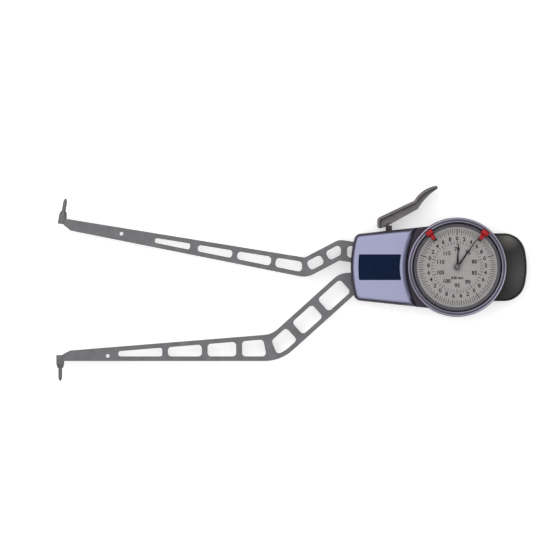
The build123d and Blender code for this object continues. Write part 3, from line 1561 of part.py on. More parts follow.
collar_bore = collar_radius + collar_running_gap
lip_bore = bezel_bore - bezel_lip
snap_reach = collar_radius + snap_ring_depth
with BuildPart() as bezel:
    add(ring([
        (collar_bore, bezel_back),
        (bezel_radius - bezel_edge, bezel_back),
        (bezel_radius, bezel_back + bezel_edge),
        (bezel_radius, bezel_front - bezel_edge),
        (bezel_radius - bezel_edge, bezel_front),
        (bezel_radius - rim_bead_width + rim_slope, bezel_front),
        (bezel_radius - rim_bead_width, bezel_front - rim_slope),
        (bezel_radius - rim_bead_width, lip_front),
        (lip_bore + lip_bead_width, lip_front),
        (lip_bore + lip_bead_width / 2, lip_front + lip_bead_height),
        (lip_bore, lip_front),
        (lip_bore, lip_back),
        (bezel_bore, lip_back),
        (bezel_bore, dial_back),
        (collar_bore, dial_back),
    ]))
    add(ring([
        (collar_radius, snap_ring_back - running_gap),
        (snap_reach + collar_running_gap, snap_ring_back - running_gap),
        (snap_reach + collar_running_gap, snap_ring_back + snap_ring_height + running_gap),
        (collar_radius, snap_ring_back + snap_ring_height + running_gap),
    ]), mode=Mode.SUBTRACT)
bezel.part.label = "bezel"
export_step(bezel.part, "parts/bezel.step")

with BuildPart() as snap_ring:
    with BuildSketch(Plane.XY.offset(snap_ring_back)):
        Circle(snap_reach)
        Circle(collar_radius - snap_ring_depth + seat_gap, mode=Mode.SUBTRACT)
        with Locations((collar_radius, 0)):
            Rectangle(collar_wall, collar_wall, mode=Mode.SUBTRACT)
    extrude(amount=snap_ring_height)
snap_ring.part.label = "snap_ring"
export_step(snap_ring.part, "parts/snap_ring.step")

dial_seat_radius = bezel_bore - ring_fit
with BuildPart() as dial:
    with BuildSketch(Plane.XY.offset(dial_back)):
        Circle(dial_seat_radius)
        Circle(dial_hole_radius, mode=Mode.SUBTRACT)
    extrude(amount=dial_thickness)
dial.part.label = "dial"
export_step(dial.part, "parts/dial.step")

seal_back = crystal_back - seal_height
with BuildPart() as dial_ring:
    add(ring([
        (dial_window_radius, dial_front),
        (dial_seat_radius, dial_front),
        (dial_seat_radius, seal_back),
        (dial_window_radius + dial_ring_slope, seal_back),
        (dial_window_radius, dial_front + seal_height),
    ]))
dial_ring.part.label = "dial_ring"
export_step(dial_ring.part, "parts/dial_ring.step")

with BuildPart() as crystal_seal:
    with BuildSketch(Plane.XY.offset(seal_back)):
        Circle(dial_seat_radius)
        Circle(dial_window_radius + dial_ring_slope, mode=Mode.SUBTRACT)
    extrude(amount=seal_height)
crystal_seal.part.label = "crystal_seal"
export_step(crystal_seal.part, "parts/crystal_seal.step")

crystal = disc((0, 0), dial_seat_radius, crystal_back, crystal_front)
crystal.label = "crystal"
export_step(crystal, "parts/crystal.step")


# Tolerance markers: a tongue over the crystal, and a clip whose foot and block hold the bezel's lip
def marker(angle):
    """A marker whose middle line points in a direction from the dial axis."""
    plane = Plane((0, 0, marker_back), x_dir=(cos(radians(angle)), sin(radians(angle)), 0))
    block_start = bezel_bore - marker_block_inset
    neck_end = lip_bore - marker_gap
    foot_end = bezel_bore - marker_gap
    block_end = bezel_radius - rim_bead_width - marker_gap
    layers = [
        (marker_back, marker_tongue_height, foot_end),
        (marker_back + marker_tongue_height, marker_block_back - marker_back - marker_tongue_height, neck_end),
        (marker_block_back, marker_block_thickness, block_end),
    ]
    with BuildPart() as part:
        with BuildSketch(plane):
            with Locations(((marker_tip_radius + block_start) / 2, 0)):
                Rectangle(block_start - marker_tip_radius, marker_tongue_width)
            with Locations((marker_tip_radius, 0)):
                Circle(marker_tongue_width / 2)
        extrude(amount=marker_tongue_height)
        for level, height, end in layers:
            with BuildSketch(plane.offset(level - marker_back)):
                with Locations(((block_start + end) / 2, 0)):
                    Rectangle(end - block_start, marker_width)
                add(round_slice(plane, end), mode=Mode.INTERSECT)
            extrude(amount=height)
    return part.part


def round_slice(plane, radius):
    """A disc about the dial axis, which rounds a marker's outer end."""
    with BuildSketch(plane) as slice_face:
        Circle(radius)
    return slice_face.sketch_local


for name, side in (("left_marker", 1), ("right_marker", -1)):
    sliding_marker = marker(90 + side * marker_angle)
    sliding_marker.label = name
    export_step(sliding_marker, f"parts/{name}.step")
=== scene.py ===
import json
from math import cos, pi, radians, sin

import bmesh
import bpy
import numpy as np
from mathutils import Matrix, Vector


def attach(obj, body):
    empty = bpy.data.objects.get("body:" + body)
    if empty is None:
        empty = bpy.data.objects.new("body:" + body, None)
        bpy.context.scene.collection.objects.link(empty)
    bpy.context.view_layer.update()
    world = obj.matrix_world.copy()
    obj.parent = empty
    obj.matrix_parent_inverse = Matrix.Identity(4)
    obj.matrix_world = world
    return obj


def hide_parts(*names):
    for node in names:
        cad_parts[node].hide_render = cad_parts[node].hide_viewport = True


# An inside caliper gauge lying on its back, seen from straight above.
# The part's places and sizes are in millimetres in its own frame, and turn to metres where a piece or a
# shader takes them. The floor, the lamps and the camera are in metres.
mm = 0.001
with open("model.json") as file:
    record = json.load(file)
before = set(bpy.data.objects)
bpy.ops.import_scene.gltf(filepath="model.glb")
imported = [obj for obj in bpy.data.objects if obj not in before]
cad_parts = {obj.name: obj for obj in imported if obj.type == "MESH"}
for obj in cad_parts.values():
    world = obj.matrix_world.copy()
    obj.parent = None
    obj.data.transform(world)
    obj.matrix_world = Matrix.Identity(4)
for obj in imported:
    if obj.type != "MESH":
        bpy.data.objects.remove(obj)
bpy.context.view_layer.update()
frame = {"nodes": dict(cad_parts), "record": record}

# Places of the part that the finishes and the new pieces stand on
dial_level = 22.1
print_back = dial_level - 0.01
print_front = dial_level + 0.025
cap_back = 23.9
cap_front = 24.5
bezel_radius = 32.4
dial_axis = (0.0, 0.0)
dish_axis = (22.3, 0.0)
dish_edge = 58.2


# Finishes
def linear(red, green, blue):
    """A screen colour of 0 to 255 a channel as linear light."""
    share = np.array([red, green, blue]) / 255
    light = np.where(share <= 0.04045, share / 12.92, ((share + 0.055) / 1.055) ** 2.4)
    return (*light.tolist(), 1.0)


def toned(colour, share):
    """A colour with each channel multiplied by a share."""
    return tuple(min(255, share * channel) for channel in colour)


class Finish:
    """A principled shader and the few nodes that give it grain, wear and relief."""

    def __init__(self, name, colour, roughness, metallic=0.0, **sockets):
        self.material = bpy.data.materials.new(name)
        self.material.use_nodes = True
        self.tree = self.material.node_tree
        self.shader = self.tree.nodes["Principled BSDF"]
        self.shader.inputs["Base Color"].default_value = linear(*colour)
        self.shader.inputs["Roughness"].default_value = roughness
        self.shader.inputs["Metallic"].default_value = metallic
        for socket, value in sockets.items():
            self.shader.inputs[socket.replace("_", " ")].default_value = value
        self.coordinates = self.node("TexCoord").outputs["Object"]
        self.colour_now = None
        self.normal_now = None

    def node(self, kind, **settings):
        """A new shader node of a kind, with its settings."""
        made = self.tree.nodes.new("ShaderNode" + kind)
        for setting, value in settings.items():
            setattr(made, setting, value)
        return made

    def link(self, source, target):
        """One node's output into another's input."""
        self.tree.links.new(source, target)

    def stretched(self, x, y, z):
        """Object coordinates scaled along each axis, for grain that runs one way."""
        mapping = self.node("Mapping")
        mapping.inputs["Scale"].default_value = (x, y, z)
        self.link(self.coordinates, mapping.inputs["Vector"])
        return mapping.outputs["Vector"]

    def noise(self, size, detail=3.0, vector=None):
        """Noise whose features are about size millimetres across."""
        noise = self.node("TexNoise")
        noise.inputs["Scale"].default_value = 1 / (size * mm)
        noise.inputs["Detail"].default_value = detail
        self.link(vector or self.coordinates, noise.inputs["Vector"])
        return noise.outputs["Fac"]

    def spread(self, value, low, high, start=0.3, end=0.7):
        """The value between start and end carried to low and high."""
        mapped = self.node("MapRange")
        for socket, number in (("From Min", start), ("From Max", end), ("To Min", low), ("To Max", high)):
            mapped.inputs[socket].default_value = number
        self.link(value, mapped.inputs["Value"])
        return mapped.outputs["Result"]

    def inverse(self, value):
        """1 where a value is 0, and 0 where it is 1."""
        return self.spread(value, 1.0, 0.0, 0.0, 1.0)

    def tint(self, value, first, second):
        """The base colour wanders from first to second with a noise."""
        mix = self.node("Mix", data_type="RGBA")
        mix.inputs["A"].default_value = linear(*first)
        mix.inputs["B"].default_value = linear(*second)
        self.link(self.spread(value, 0.0, 1.0), mix.inputs["Factor"])
        self.colour_now = mix.outputs["Result"]
        self.link(self.colour_now, self.shader.inputs["Base Color"])

    def overlay(self, value, colour):
        """A second colour laid over the first where a value is 1."""
        mix = self.node("Mix", data_type="RGBA")
        self.link(self.colour_now, mix.inputs["A"])
        mix.inputs["B"].default_value = linear(*colour)
        self.link(value, mix.inputs["Factor"])
        self.colour_now = mix.outputs["Result"]
        self.link(self.colour_now, self.shader.inputs["Base Color"])

    def sheen_change(self, value, low, high):
        """Roughness that wanders between low and high with a noise."""
        self.link(self.spread(value, low, high), self.shader.inputs["Roughness"])

    def relief(self, height, depth, strength=1.0):
        """A bump whose full height is depth millimetres."""
        bump = self.node("Bump")
        bump.inputs["Distance"].default_value = depth * mm
        bump.inputs["Strength"].default_value = strength
        self.link(height, bump.inputs["Height"])
        if self.normal_now is not None:
            self.link(self.normal_now, bump.inputs["Normal"])
        self.normal_now = bump.outputs["Normal"]
        self.link(self.normal_now, self.shader.inputs["Normal"])

    def edge_mask(self, width):
        """1 along the solid's edges and 0 on its faces, from how far a rounded normal leaves the true
        one."""
        rounded = self.node("Bevel", samples=4)
        rounded.inputs["Radius"].default_value = width * mm
        true = self.node("NewGeometry")
        dot = self.node("VectorMath", operation="DOT_PRODUCT")
        self.link(rounded.outputs["Normal"], dot.inputs[0])
        self.link(true.outputs["Normal"], dot.inputs[1])
        return self.spread(dot.outputs["Value"], 1.0, 0.0, 0.86, 0.995)

    def facing_up(self, low, high):
        """0 where the surface leans over so far that its normal rises by low, 1 where it rises by high."""
        true = self.node("NewGeometry")
        apart = self.node("SeparateXYZ")
        self.link(true.outputs["Normal"], apart.inputs["Vector"])
        return self.spread(apart.outputs["Z"], 0.0, 1.0, low, high)

    def nearness(self, centre, far, near):
        """0 at a distance far from a centre seen from above and 1 at near, in millimetres."""
        flat = self.node("VectorMath", operation="MULTIPLY_ADD")
        self.link(self.coordinates, flat.inputs[0])
        flat.inputs[1].default_value = (1, 1, 0)
        flat.inputs[2].default_value = (-centre[0] * mm, -centre[1] * mm, 0)
        length = self.node("VectorMath", operation="LENGTH")
        self.link(flat.outputs["Vector"], length.inputs[0])
        return self.spread(length.outputs["Value"], 0.0, 1.0, far * mm, near * mm)

    def ring(self, inner, outer, softness=0.12):
        """1 between two distances from the dial axis."""
        within = self.nearness(dial_axis, outer + softness, outer)
        beyond = self.inverse(self.nearness(dial_axis, inner, inner - softness))
        return self.times(within, beyond)

    def below(self, level, softness):
        """1 below a level and 0 above it."""
        apart = self.node("SeparateXYZ")
        self.link(self.coordinates, apart.inputs["Vector"])
        return self.spread(apart.outputs["Z"], 1.0, 0.0, (level - softness) * mm, level * mm)

    def corner_dirt(self, reach, shut_in=0.35, open_air=0.8):
        """A mask for painted shade: 1 in inner corners, where less than shut_in of the sky within reach is
        open, and 0 on faces with more than open_air."""
        shut = self.node("AmbientOcclusion", samples=8)
        shut.inputs["Distance"].default_value = reach * mm
        return self.spread(shut.outputs["AO"], 1.0, 0.0, shut_in, open_air)

    def times(self, first, second):
        """The product of two values."""
        product = self.node("Math", operation="MULTIPLY", use_clamp=True)
        self.link(first, product.inputs[0])
        self.link(second, product.inputs[1])
        return product.outputs["Value"]

    def lathe_lines(self, pitch):
        """Fine turning marks: noise read along the distance from the dial axis and along the height."""
        apart = self.node("SeparateXYZ")
        self.link(self.coordinates, apart.inputs["Vector"])
        flat = self.node("CombineXYZ")
        self.link(apart.outputs["X"], flat.inputs["X"])
        self.link(apart.outputs["Y"], flat.inputs["Y"])
        length = self.node("VectorMath", operation="LENGTH")
        self.link(flat.outputs["Vector"], length.inputs[0])
        line = self.node("CombineXYZ")
        self.link(length.outputs["Value"], line.inputs["X"])
        self.link(apart.outputs["Z"], line.inputs["Y"])
        return self.noise(pitch, 2.0, line.outputs["Vector"])


def powder_grey(name, colour, reach=0.8, shadow_spots=()):
    """Satin grey coat on cast aluminium: orange-peel relief, faint mottling, rubbed edges and painted
    shade in the corners. A painted shadow spot has a centre, and the distances where the painted shadow
    ends and where it is full."""
    finish = Finish(name, colour, 0.5, 0.15, Specular_IOR_Level=0.4)
    finish.tint(finish.noise(6.0, 4.0), toned(colour, 0.93), toned(colour, 1.06))
    rubbed = finish.times(finish.edge_mask(0.35), finish.spread(finish.noise(2.2, 4.0), 0.15, 0.75))
    finish.overlay(rubbed, (150, 148, 151))
    # painted shade in the inner corners and creases
    finish.overlay(finish.corner_dirt(reach, 0.58, 0.82), (34, 30, 32))
    # painted shadow over each listed spot
    for centre, far, near in shadow_spots:
        finish.overlay(finish.nearness(centre, far, near), (50, 44, 46))
    finish.sheen_change(finish.noise(1.2), 0.42, 0.58)
    finish.relief(finish.noise(0.45, 2.0), 0.02, 0.5)
    return finish.material


def lavender_coat():
    """Metallic lavender coat: flakes in the colour, painted shade in the dish, soft wear on the edges and
    painted shade on the rounded edges and sides, less deep where the dish's rim ends at the arms."""
    edge_shade = (48, 43, 56)
    finish = Finish("lavender_coat", (150, 150, 180), 0.42, 0.45, Coat_Weight=0.1, Coat_Roughness=0.3)
    finish.tint(finish.noise(0.22, 1.0), (143, 143, 174), (157, 157, 188))
    # painted shade in the dish round the bezel, deepest low down by the bezel
    by_dial = finish.nearness(dish_axis, dish_edge, dish_edge - 1.2)
    finish.overlay(finish.times(by_dial, finish.below(20.9, 2.4)), (48, 39, 52))
    worn = finish.times(finish.edge_mask(0.5), finish.spread(finish.noise(3.0, 5.0), 0.0, 0.35, 0.45, 0.7))
    finish.overlay(worn, (180, 182, 206))
    # painted shade on the rounded edges and the sides outside the dish
    side = finish.inverse(finish.facing_up(0.8, 0.992))
    off_dial = finish.inverse(finish.nearness(dish_axis, dish_edge + 1.0, dish_edge))
    finish.overlay(finish.times(side, off_dial), edge_shade)
    # lighter painted shade where the dish's rim ends at the arms
    for end_of_rim in ((-30.0, 25.5), (-29.5, -25.0)):
        finish.overlay(finish.times(side, finish.nearness(end_of_rim, 6.0, 3.5)), (76, 68, 86))
    finish.sheen_change(finish.noise(0.6), 0.36, 0.48)
    finish.relief(finish.noise(0.3, 1.0), 0.006, 0.5)
    return finish.material


def navy_foil():
    """Printed navy foil: even, satin, with a faint weave of the film and fine rubs."""
    finish = Finish("navy_foil", (10, 26, 52), 0.38, 0.0, Specular_IOR_Level=0.05)
    finish.tint(finish.noise(1.8, 4.0), (6, 22, 48), (10, 28, 56))
    finish.sheen_change(finish.noise(4.0, 5.0, finish.stretched(1.0, 6.0, 1.0)), 0.3, 0.46)
    finish.relief(finish.noise(0.25, 1.0), 0.004, 0.5)
    return finish.material


def grained_black():
    """Black moulded grip: fine pebble grain, two painted highlights as lighter patches on its face, and
    painted shade that makes its rounded edge blacker."""
    finish = Finish("grained_black", (38, 38, 38), 0.5, 0.0, Specular_IOR_Level=0.2)
    finish.tint(finish.noise(9.0, 3.0), (40, 40, 40), (50, 50, 49))
    # painted highlights: two lighter patches on the face
    finish.overlay(finish.nearness((41.0, -5.0), 14.0, 1.0), (68, 68, 67))
    finish.overlay(finish.nearness((33.5, 19.5), 9.0, 1.5), (96, 94, 90))
    # painted shade on the rounded edge
    finish.overlay(finish.inverse(finish.facing_up(0.8, 0.998)), (8, 8, 9))
    finish.sheen_change(finish.noise(2.0), 0.4, 0.56)
    cells = finish.node("TexVoronoi", feature="SMOOTH_F1")
    cells.inputs["Scale"].default_value = 1 / (0.55 * mm)
    finish.link(finish.coordinates, cells.inputs["Vector"])
    finish.relief(cells.outputs["Distance"], 0.05, 0.45)
    return finish.material


def turned_metal(name, colour, low, high, pitch=0.3, depth=0.001, shaded=()):
    """Metal from the lathe: turning marks about the dial axis, painted shade on its sides and in rings. A
    shaded ring has an inner and an outer radius and the share of the colour that is left."""
    finish = Finish(name, colour, (low + high) / 2, 1.0)
    lines = finish.lathe_lines(pitch)
    finish.tint(lines, toned(colour, 0.95), toned(colour, 1.04))
    # painted shade in each listed ring
    for inner, outer, share in shaded:
        finish.overlay(finish.ring(inner, outer), toned(colour, share))
    # painted shade on the sides
    finish.overlay(finish.inverse(finish.facing_up(0.1, 0.75)), toned(colour, 0.5))
    finish.sheen_change(finish.noise(6.0, 2.0), low, high)
    finish.relief(lines, depth, 0.6)
    return finish.material


def brushed_metal(name, colour, low, high, metallic=1.0):
    """Metal with a grain drawn along X, slightly uneven in shade and shine."""
    finish = Finish(name, colour, (low + high) / 2, metallic)
    grain = finish.noise(0.5, 3.0, finish.stretched(0.12, 1.6, 1.6))
    finish.tint(grain, toned(colour, 0.92), toned(colour, 1.06))
    finish.sheen_change(finish.noise(1.4), low, high)
    finish.relief(grain, 0.004, 0.6)
    return finish.material


def dial_coat():
    """Matt warm grey dial paint with a very fine tooth."""
    finish = Finish("dial_coat", (157, 153, 152), 0.6, 0.0, Specular_IOR_Level=0.3)
    finish.tint(finish.noise(5.0, 4.0), (155, 151, 150), (160, 156, 155))
    finish.sheen_change(finish.noise(0.8), 0.54, 0.68)
    finish.relief(finish.noise(0.12, 1.0), 0.003, 0.5)
    return finish.material


def matt_grey():
    """Matt grey ring under the crystal, turned, with fine lines."""
    finish = Finish("matt_grey", (92, 90, 99), 0.48, 0.2)
    lines = finish.lathe_lines(0.2)
    finish.tint(lines, (86, 84, 93), (98, 96, 105))
    finish.sheen_change(finish.noise(1.0), 0.42, 0.56)
    finish.relief(lines, 0.008, 0.6)
    return finish.material


def black_rubber():
    """Matt black rubber with a dusty bloom."""
    finish = Finish("black_rubber", (24, 23, 26), 0.7)
    finish.tint(finish.noise(1.5, 4.0), (20, 19, 22), (34, 33, 36))
    finish.sheen_change(finish.noise(0.9), 0.62, 0.8)
    finish.relief(finish.noise(0.2), 0.01, 0.5)
    return finish.material


def clear_crystal():
    """Clear crystal: mostly open, with faint wipe marks in its gloss."""
    finish = Finish(
        "clear_crystal", (250, 252, 255), 0.03, 0.0, Transmission_Weight=1.0, IOR=1.49, Alpha=0.1)
    finish.sheen_change(finish.noise(7.0, 5.0, finish.stretched(1.0, 3.0, 1.0)), 0.02, 0.06)
    finish.relief(finish.noise(14.0, 1.0), 0.002, 0.2)
    return finish.material


def red_plastic():
    """Glossy red plastic with a moulded sheen, and painted shade on its edges, sides and corners and a
    painted shadow at the tip.
    """
    finish = Finish(
        "red_plastic", (160, 8, 16), 0.32, 0.0,
        Specular_IOR_Level=0.25, Coat_Weight=0.05, Coat_Roughness=0.2)
    finish.tint(finish.noise(1.6, 3.0), (148, 5, 12), (172, 12, 18))
    # painted shade on the edges, in the corners and on the sides
    finish.overlay(finish.edge_mask(1.0), (92, 3, 10))
    finish.overlay(finish.corner_dirt(1.6), (64, 4, 10))
    finish.overlay(finish.inverse(finish.facing_up(0.3, 0.95)), (84, 4, 10))
    # painted shadow at the tongue's tip
    finish.overlay(finish.nearness(dial_axis, 24.3, 23.5), (56, 14, 20))
    finish.sheen_change(finish.noise(0.8), 0.24, 0.38)
    finish.relief(finish.noise(0.3, 1.0), 0.008, 0.5)
    return finish.material


def hand_lacquer():
    """Black lacquer of the hands and of the dial's figures, slightly broken at its surface."""
    finish = Finish("hand_lacquer", (16, 14, 16), 0.5, Specular_IOR_Level=0.15)
    finish.tint(finish.noise(0.6, 3.0), (12, 11, 13), (26, 24, 26))
    finish.sheen_change(finish.noise(0.5), 0.34, 0.52)
    finish.relief(finish.noise(0.1, 1.0), 0.003, 0.4)
    return finish.material


finishes = {
    "housing_paint": lavender_coat(),
    "plate_navy": navy_foil(),
    "arm_grey": powder_grey("arm_coat", (104, 103, 106)),
    # The lever's spot is a painted shadow where its neck goes into the housing.
    "lever_grey": powder_grey("lever_coat", (104, 100, 102), 2.2, [((-44.3, 25.0), 5.0, 3.4)]),
    "palm_black": grained_black(),
    # painted shade in the bezel's channel
    "bezel_metal": turned_metal(
        "bezel_lavender", (166, 160, 182), 0.26, 0.34, 0.5, 0.0005, [(30.55, 31.35, 0.5)]),
    "dial_face": dial_coat(),
    "ring_grey": matt_grey(),
    "seal_black": black_rubber(),
    "crystal_clear": clear_crystal(),
    "marker_red": red_plastic(),
    "hand_black": hand_lacquer(),
    # painted shade in the hub cap's groove and on its rounded rim
    "hub_grey": turned_metal(
        "hub_steel", (116, 114, 116), 0.42, 0.52, 0.2, 0.001, [(1.1, 1.6, 0.65), (2.1, 3.0, 0.55)]),
    "steel": brushed_metal("ground_steel", (104, 106, 104), 0.34, 0.46),
    "spring_steel": brushed_metal("blue_spring_steel", (116, 122, 136), 0.2, 0.32),
    "brass": brushed_metal("clock_brass", (206, 168, 92), 0.24, 0.38),
    "hard_metal": brushed_metal("hard_tip", (72, 72, 76), 0.2, 0.3),
    "screw_black": brushed_metal("black_oxide", (52, 52, 56), 0.34, 0.5, 0.8),
}
for part in frame["record"]["subparts"]:
    for held in frame["nodes"][part["node"]].material_slots:
        held.material = finishes[part["material_slot"]]


# Mesh work
def piece_from(name, points, faces, body, slot, sharp=35.0):
    """A piece from points in millimetres and faces of point numbers, riding on a body."""
    mesh = bpy.data.meshes.new(name)
    mesh.from_pydata((points * mm).tolist(), [], [list(face) for face in faces])
    mesh.update()
    mesh.shade_smooth()
    mesh.set_sharp_from_angle(angle=radians(sharp))
    mesh.materials.append(finishes[slot])
    piece = bpy.data.objects.new(name, mesh)
    bpy.context.scene.collection.objects.link(piece)
    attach(piece, body)
    return piece


def ring_faces(around, across):
    """Quads of a grid that closes both round the axis and round its section."""
    i, j = np.meshgrid(np.arange(around), np.arange(across), indexing="ij")
    following, beside = (i + 1) % around, (j + 1) % across
    corners = [i * across + j, following * across + j, following * across + beside, i * across + beside]
    return np.stack(corners, axis=-1).reshape(-1, 4)


def turned_ring(profile, steps, flutes=0, depth=0.0, band=(0.0, 0.0)):
    """A section carried round the dial axis: (r, z) at angle a lies at (r cos a, r sin a, z).
    In a band of heights the outer radius loses depth times the half wave (1 + cos(flutes a)) / 2."""
    radius, height = np.array(profile).T
    angle = np.linspace(0, 2 * pi, steps, endpoint=False)[:, None]
    fluted = (height > band[0]) & (height < band[1]) & (radius > bezel_radius - 1)
    reach = radius[None, :] - depth * fluted[None, :] * (1 + np.cos(flutes * angle)) / 2
    level = np.broadcast_to(height[None, :], reach.shape)
    points = np.stack([reach * np.cos(angle), reach * np.sin(angle), level], axis=-1).reshape(-1, 3)
    return points, ring_faces(steps, len(profile))


# Bezel: two bright beads with a channel between them and a fluted grip round the side
grip_flutes = 120
grip_depth = 0.28
grip_band = (19.9, 26.0)
bezel_section = [
    # rounded back edge and the groove behind the grip
    (30.0, 18.5), (31.6, 18.5), (32.1, 18.7), (32.3, 19.1), (32.3, 19.5), (32.1, 19.6), (32.1, 19.8),
    # grip and the groove in front of it
    (32.38, 19.95), (32.38, 20.3), (32.38, 22.0), (32.38, 24.0), (32.38, 25.6), (32.38, 25.95),
    (32.1, 26.1), (32.1, 26.3),
    # outer bead
    (32.3, 26.45), (32.4, 26.8), (32.4, 28.3), (32.34, 28.65), (32.18, 28.9), (31.93, 29.0),
    (31.72, 28.94), (31.56, 28.78), (31.47, 28.5), (31.45, 28.1), (31.45, 27.65),
    # channel and the inner bead on the lip
    (31.4, 27.58), (30.45, 27.58), (30.36, 27.66), (30.22, 27.82), (30.05, 27.88), (29.88, 27.83),
    (29.75, 27.7), (29.7, 27.5),
    # back of the lip, bore of the crystal and the groove of the snap ring
    (29.7, 27.08), (30.9, 27.08), (30.9, 21.5), (30.0, 21.5), (30.0, 20.43), (30.45, 20.43),
    (30.45, 19.67), (30.0, 19.67),
]
points, faces = turned_ring(bezel_section, 8 * grip_flutes, grip_flutes, grip_depth, grip_band)
bezel_rim = piece_from("bezel_rim", points, faces, "bezel", "bezel_metal")
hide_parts("bezel")

# Hub cap of the hands: a rounded rim, a groove and a low dome round the arbor
cap_section = [
    (0.55, cap_back), (2.2, cap_back), (2.3, cap_back + 0.1), (2.3, cap_front - 0.16),
    (2.22, cap_front - 0.04), (2.08, cap_front), (1.72, cap_front), (1.6, cap_front - 0.06),
    (1.52, cap_front - 0.22), (1.3, cap_front - 0.26), (1.12, cap_front - 0.2), (0.98, cap_front - 0.06),
    (0.8, cap_front), (0.55, cap_front),
]
points, faces = turned_ring(cap_section, 96)
hub_cap = piece_from("hub_cap", points, faces, "centre_arbor", "hub_grey")
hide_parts("hand_cap")

# Tolerance markers: a crowned block on the bezel's lip, a foot under it and a tongue that narrows to a
# round tip. Each row is a point of the section: its radius, its height, the half width there and how far
# the sides drop.
marker_angle = 39.0
marker_section = [
    # back of the tongue, from its tip to the foot
    (22.3, 26.48, 0.2, 0), (22.38, 26.48, 0.6, 0), (22.62, 26.48, 1.0, 0), (23.1, 26.48, 1.28, 0),
    (24.2, 26.48, 1.4, 0), (26.9, 26.48, 1.6, 0), (27.15, 26.48, 2.3, 0), (27.35, 26.48, 2.6, 0),
    # foot under the lip and the neck inside it
    (30.7, 26.48, 2.6, 0), (30.7, 27.0, 2.6, 0), (29.5, 27.0, 2.6, 0), (29.5, 27.96, 2.6, 0),
    # crowned block
    (30.85, 27.96, 2.6, 0), (30.98, 28.05, 2.6, 0.02), (31.0, 28.25, 2.58, 0.08),
    (30.9, 28.55, 2.52, 0.22), (30.6, 28.82, 2.45, 0.4), (30.1, 28.95, 2.42, 0.5),
    (29.3, 28.96, 2.42, 0.5), (28.6, 28.9, 2.44, 0.46), (28.0, 28.7, 2.48, 0.38),
    (27.6, 28.35, 2.52, 0.24), (27.35, 27.85, 2.45, 0.12), (27.15, 27.4, 2.2, 0.08),
    # front of the tongue, down to its tip
    (26.9, 27.1, 1.7, 0.08), (26.5, 27.02, 1.55, 0.12), (25.6, 27.0, 1.48, 0.14),
    (24.2, 26.98, 1.38, 0.14), (23.1, 26.96, 1.24, 0.14), (22.62, 26.9, 0.95, 0.1),
    (22.38, 26.78, 0.55, 0.06), (22.3, 26.66, 0.2, 0.02),
]


def marker_clip(direction):
    """A marker that points in a direction from the dial axis. A section point (r, z) of half width w and
    drop d lies at share t of the width at (r, w t, z - d t^4), the first two turned by the direction."""
    rows, across = len(marker_section), 17
    radius, height, half, drop = np.array(marker_section).T[:, :, None]
    share = np.linspace(-1, 1, across)[None, :]
    aside = half * share
    level = height - drop * share ** 4
    turn = radians(direction)
    x = radius * cos(turn) - aside * sin(turn)
    y = radius * sin(turn) + aside * cos(turn)
    points = np.stack([x, y, level], axis=-1)
    i, j = np.meshgrid(np.arange(rows), np.arange(across - 1), indexing="ij")
    following = (i + 1) % rows
    skin = [i * across + j, i * across + j + 1, following * across + j + 1, following * across + j]
    faces = np.stack(skin, axis=-1).reshape(-1, 4).tolist()
    faces.append((np.arange(rows) * across).tolist())
    faces.append((np.arange(rows)[::-1] * across + across - 1).tolist())
    return points.reshape(-1, 3), faces


for node, direction in (("left_marker", 90 + marker_angle), ("right_marker", 90 - marker_angle)):
    points, faces = marker_clip(direction)
    clip = piece_from(node + "_clip", points, faces, node, "marker_red", 40)
    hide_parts(node)


# Dial figures
def tick_bars(turns, inner, outer, width):
    """Flat bars along the radius: a bar at clockwise turn t lies from inner to outer along
    (sin t, cos t), as thick as the print."""
    turn = np.radians(np.asarray(turns, dtype=float))[:, None]
    along = np.stack([np.sin(turn), np.cos(turn), 0 * turn], axis=-1)
    aside = np.stack([np.cos(turn), -np.sin(turn), 0 * turn], axis=-1)
    reach = np.array([inner, outer, outer, inner] * 2)[None, :, None]
    side = np.array([-1, -1, 1, 1] * 2)[None, :, None] * width / 2
    level = np.array([print_back] * 4 + [print_front] * 4)[None, :, None] * np.array([0, 0, 1])
    points = (along * reach + aside * side + level).reshape(-1, 3)
    box = np.array([[0, 1, 2, 3], [7, 6, 5, 4], [0, 4, 5, 1], [1, 5, 6, 2], [2, 6, 7, 3], [3, 7, 4, 0]])
    faces = (box[None] + 8 * np.arange(len(turn))[:, None, None]).reshape(-1, 4)
    return points, faces


def joined(groups):
    """Several sets of points and faces as one."""
    sizes = np.cumsum([0] + [len(points) for points, _ in groups])
    points = np.concatenate([points for points, _ in groups])
    faces = np.concatenate([faces + start for (_, faces), start in zip(groups, sizes)])
    return points, faces


# The outer scale has 100 divisions of 0.05 mm, the inner one 50 of a whole millimetre.
fine_pitch = 360 / 100
fine = np.arange(100)
coarse_pitch = 360 / 50
coarse = np.arange(50)
ticks = joined([
    tick_bars(fine[1::2] * fine_pitch, 22.6, 25.3, 0.34),
    tick_bars(fine[(fine % 2 == 0) & (fine % 20 != 0)] * fine_pitch, 21.6, 25.3, 0.34),
    tick_bars(fine[::20] * fine_pitch, 21.2, 25.4, 0.6),
    tick_bars(coarse[coarse % 5 != 0] * coarse_pitch, 15.2, 17.3, 0.3),
    tick_bars(coarse[::5] * coarse_pitch, 14.4, 17.3, 0.4),
])
piece_from("dial_divisions", *ticks, "bezel", "hand_black", 20)


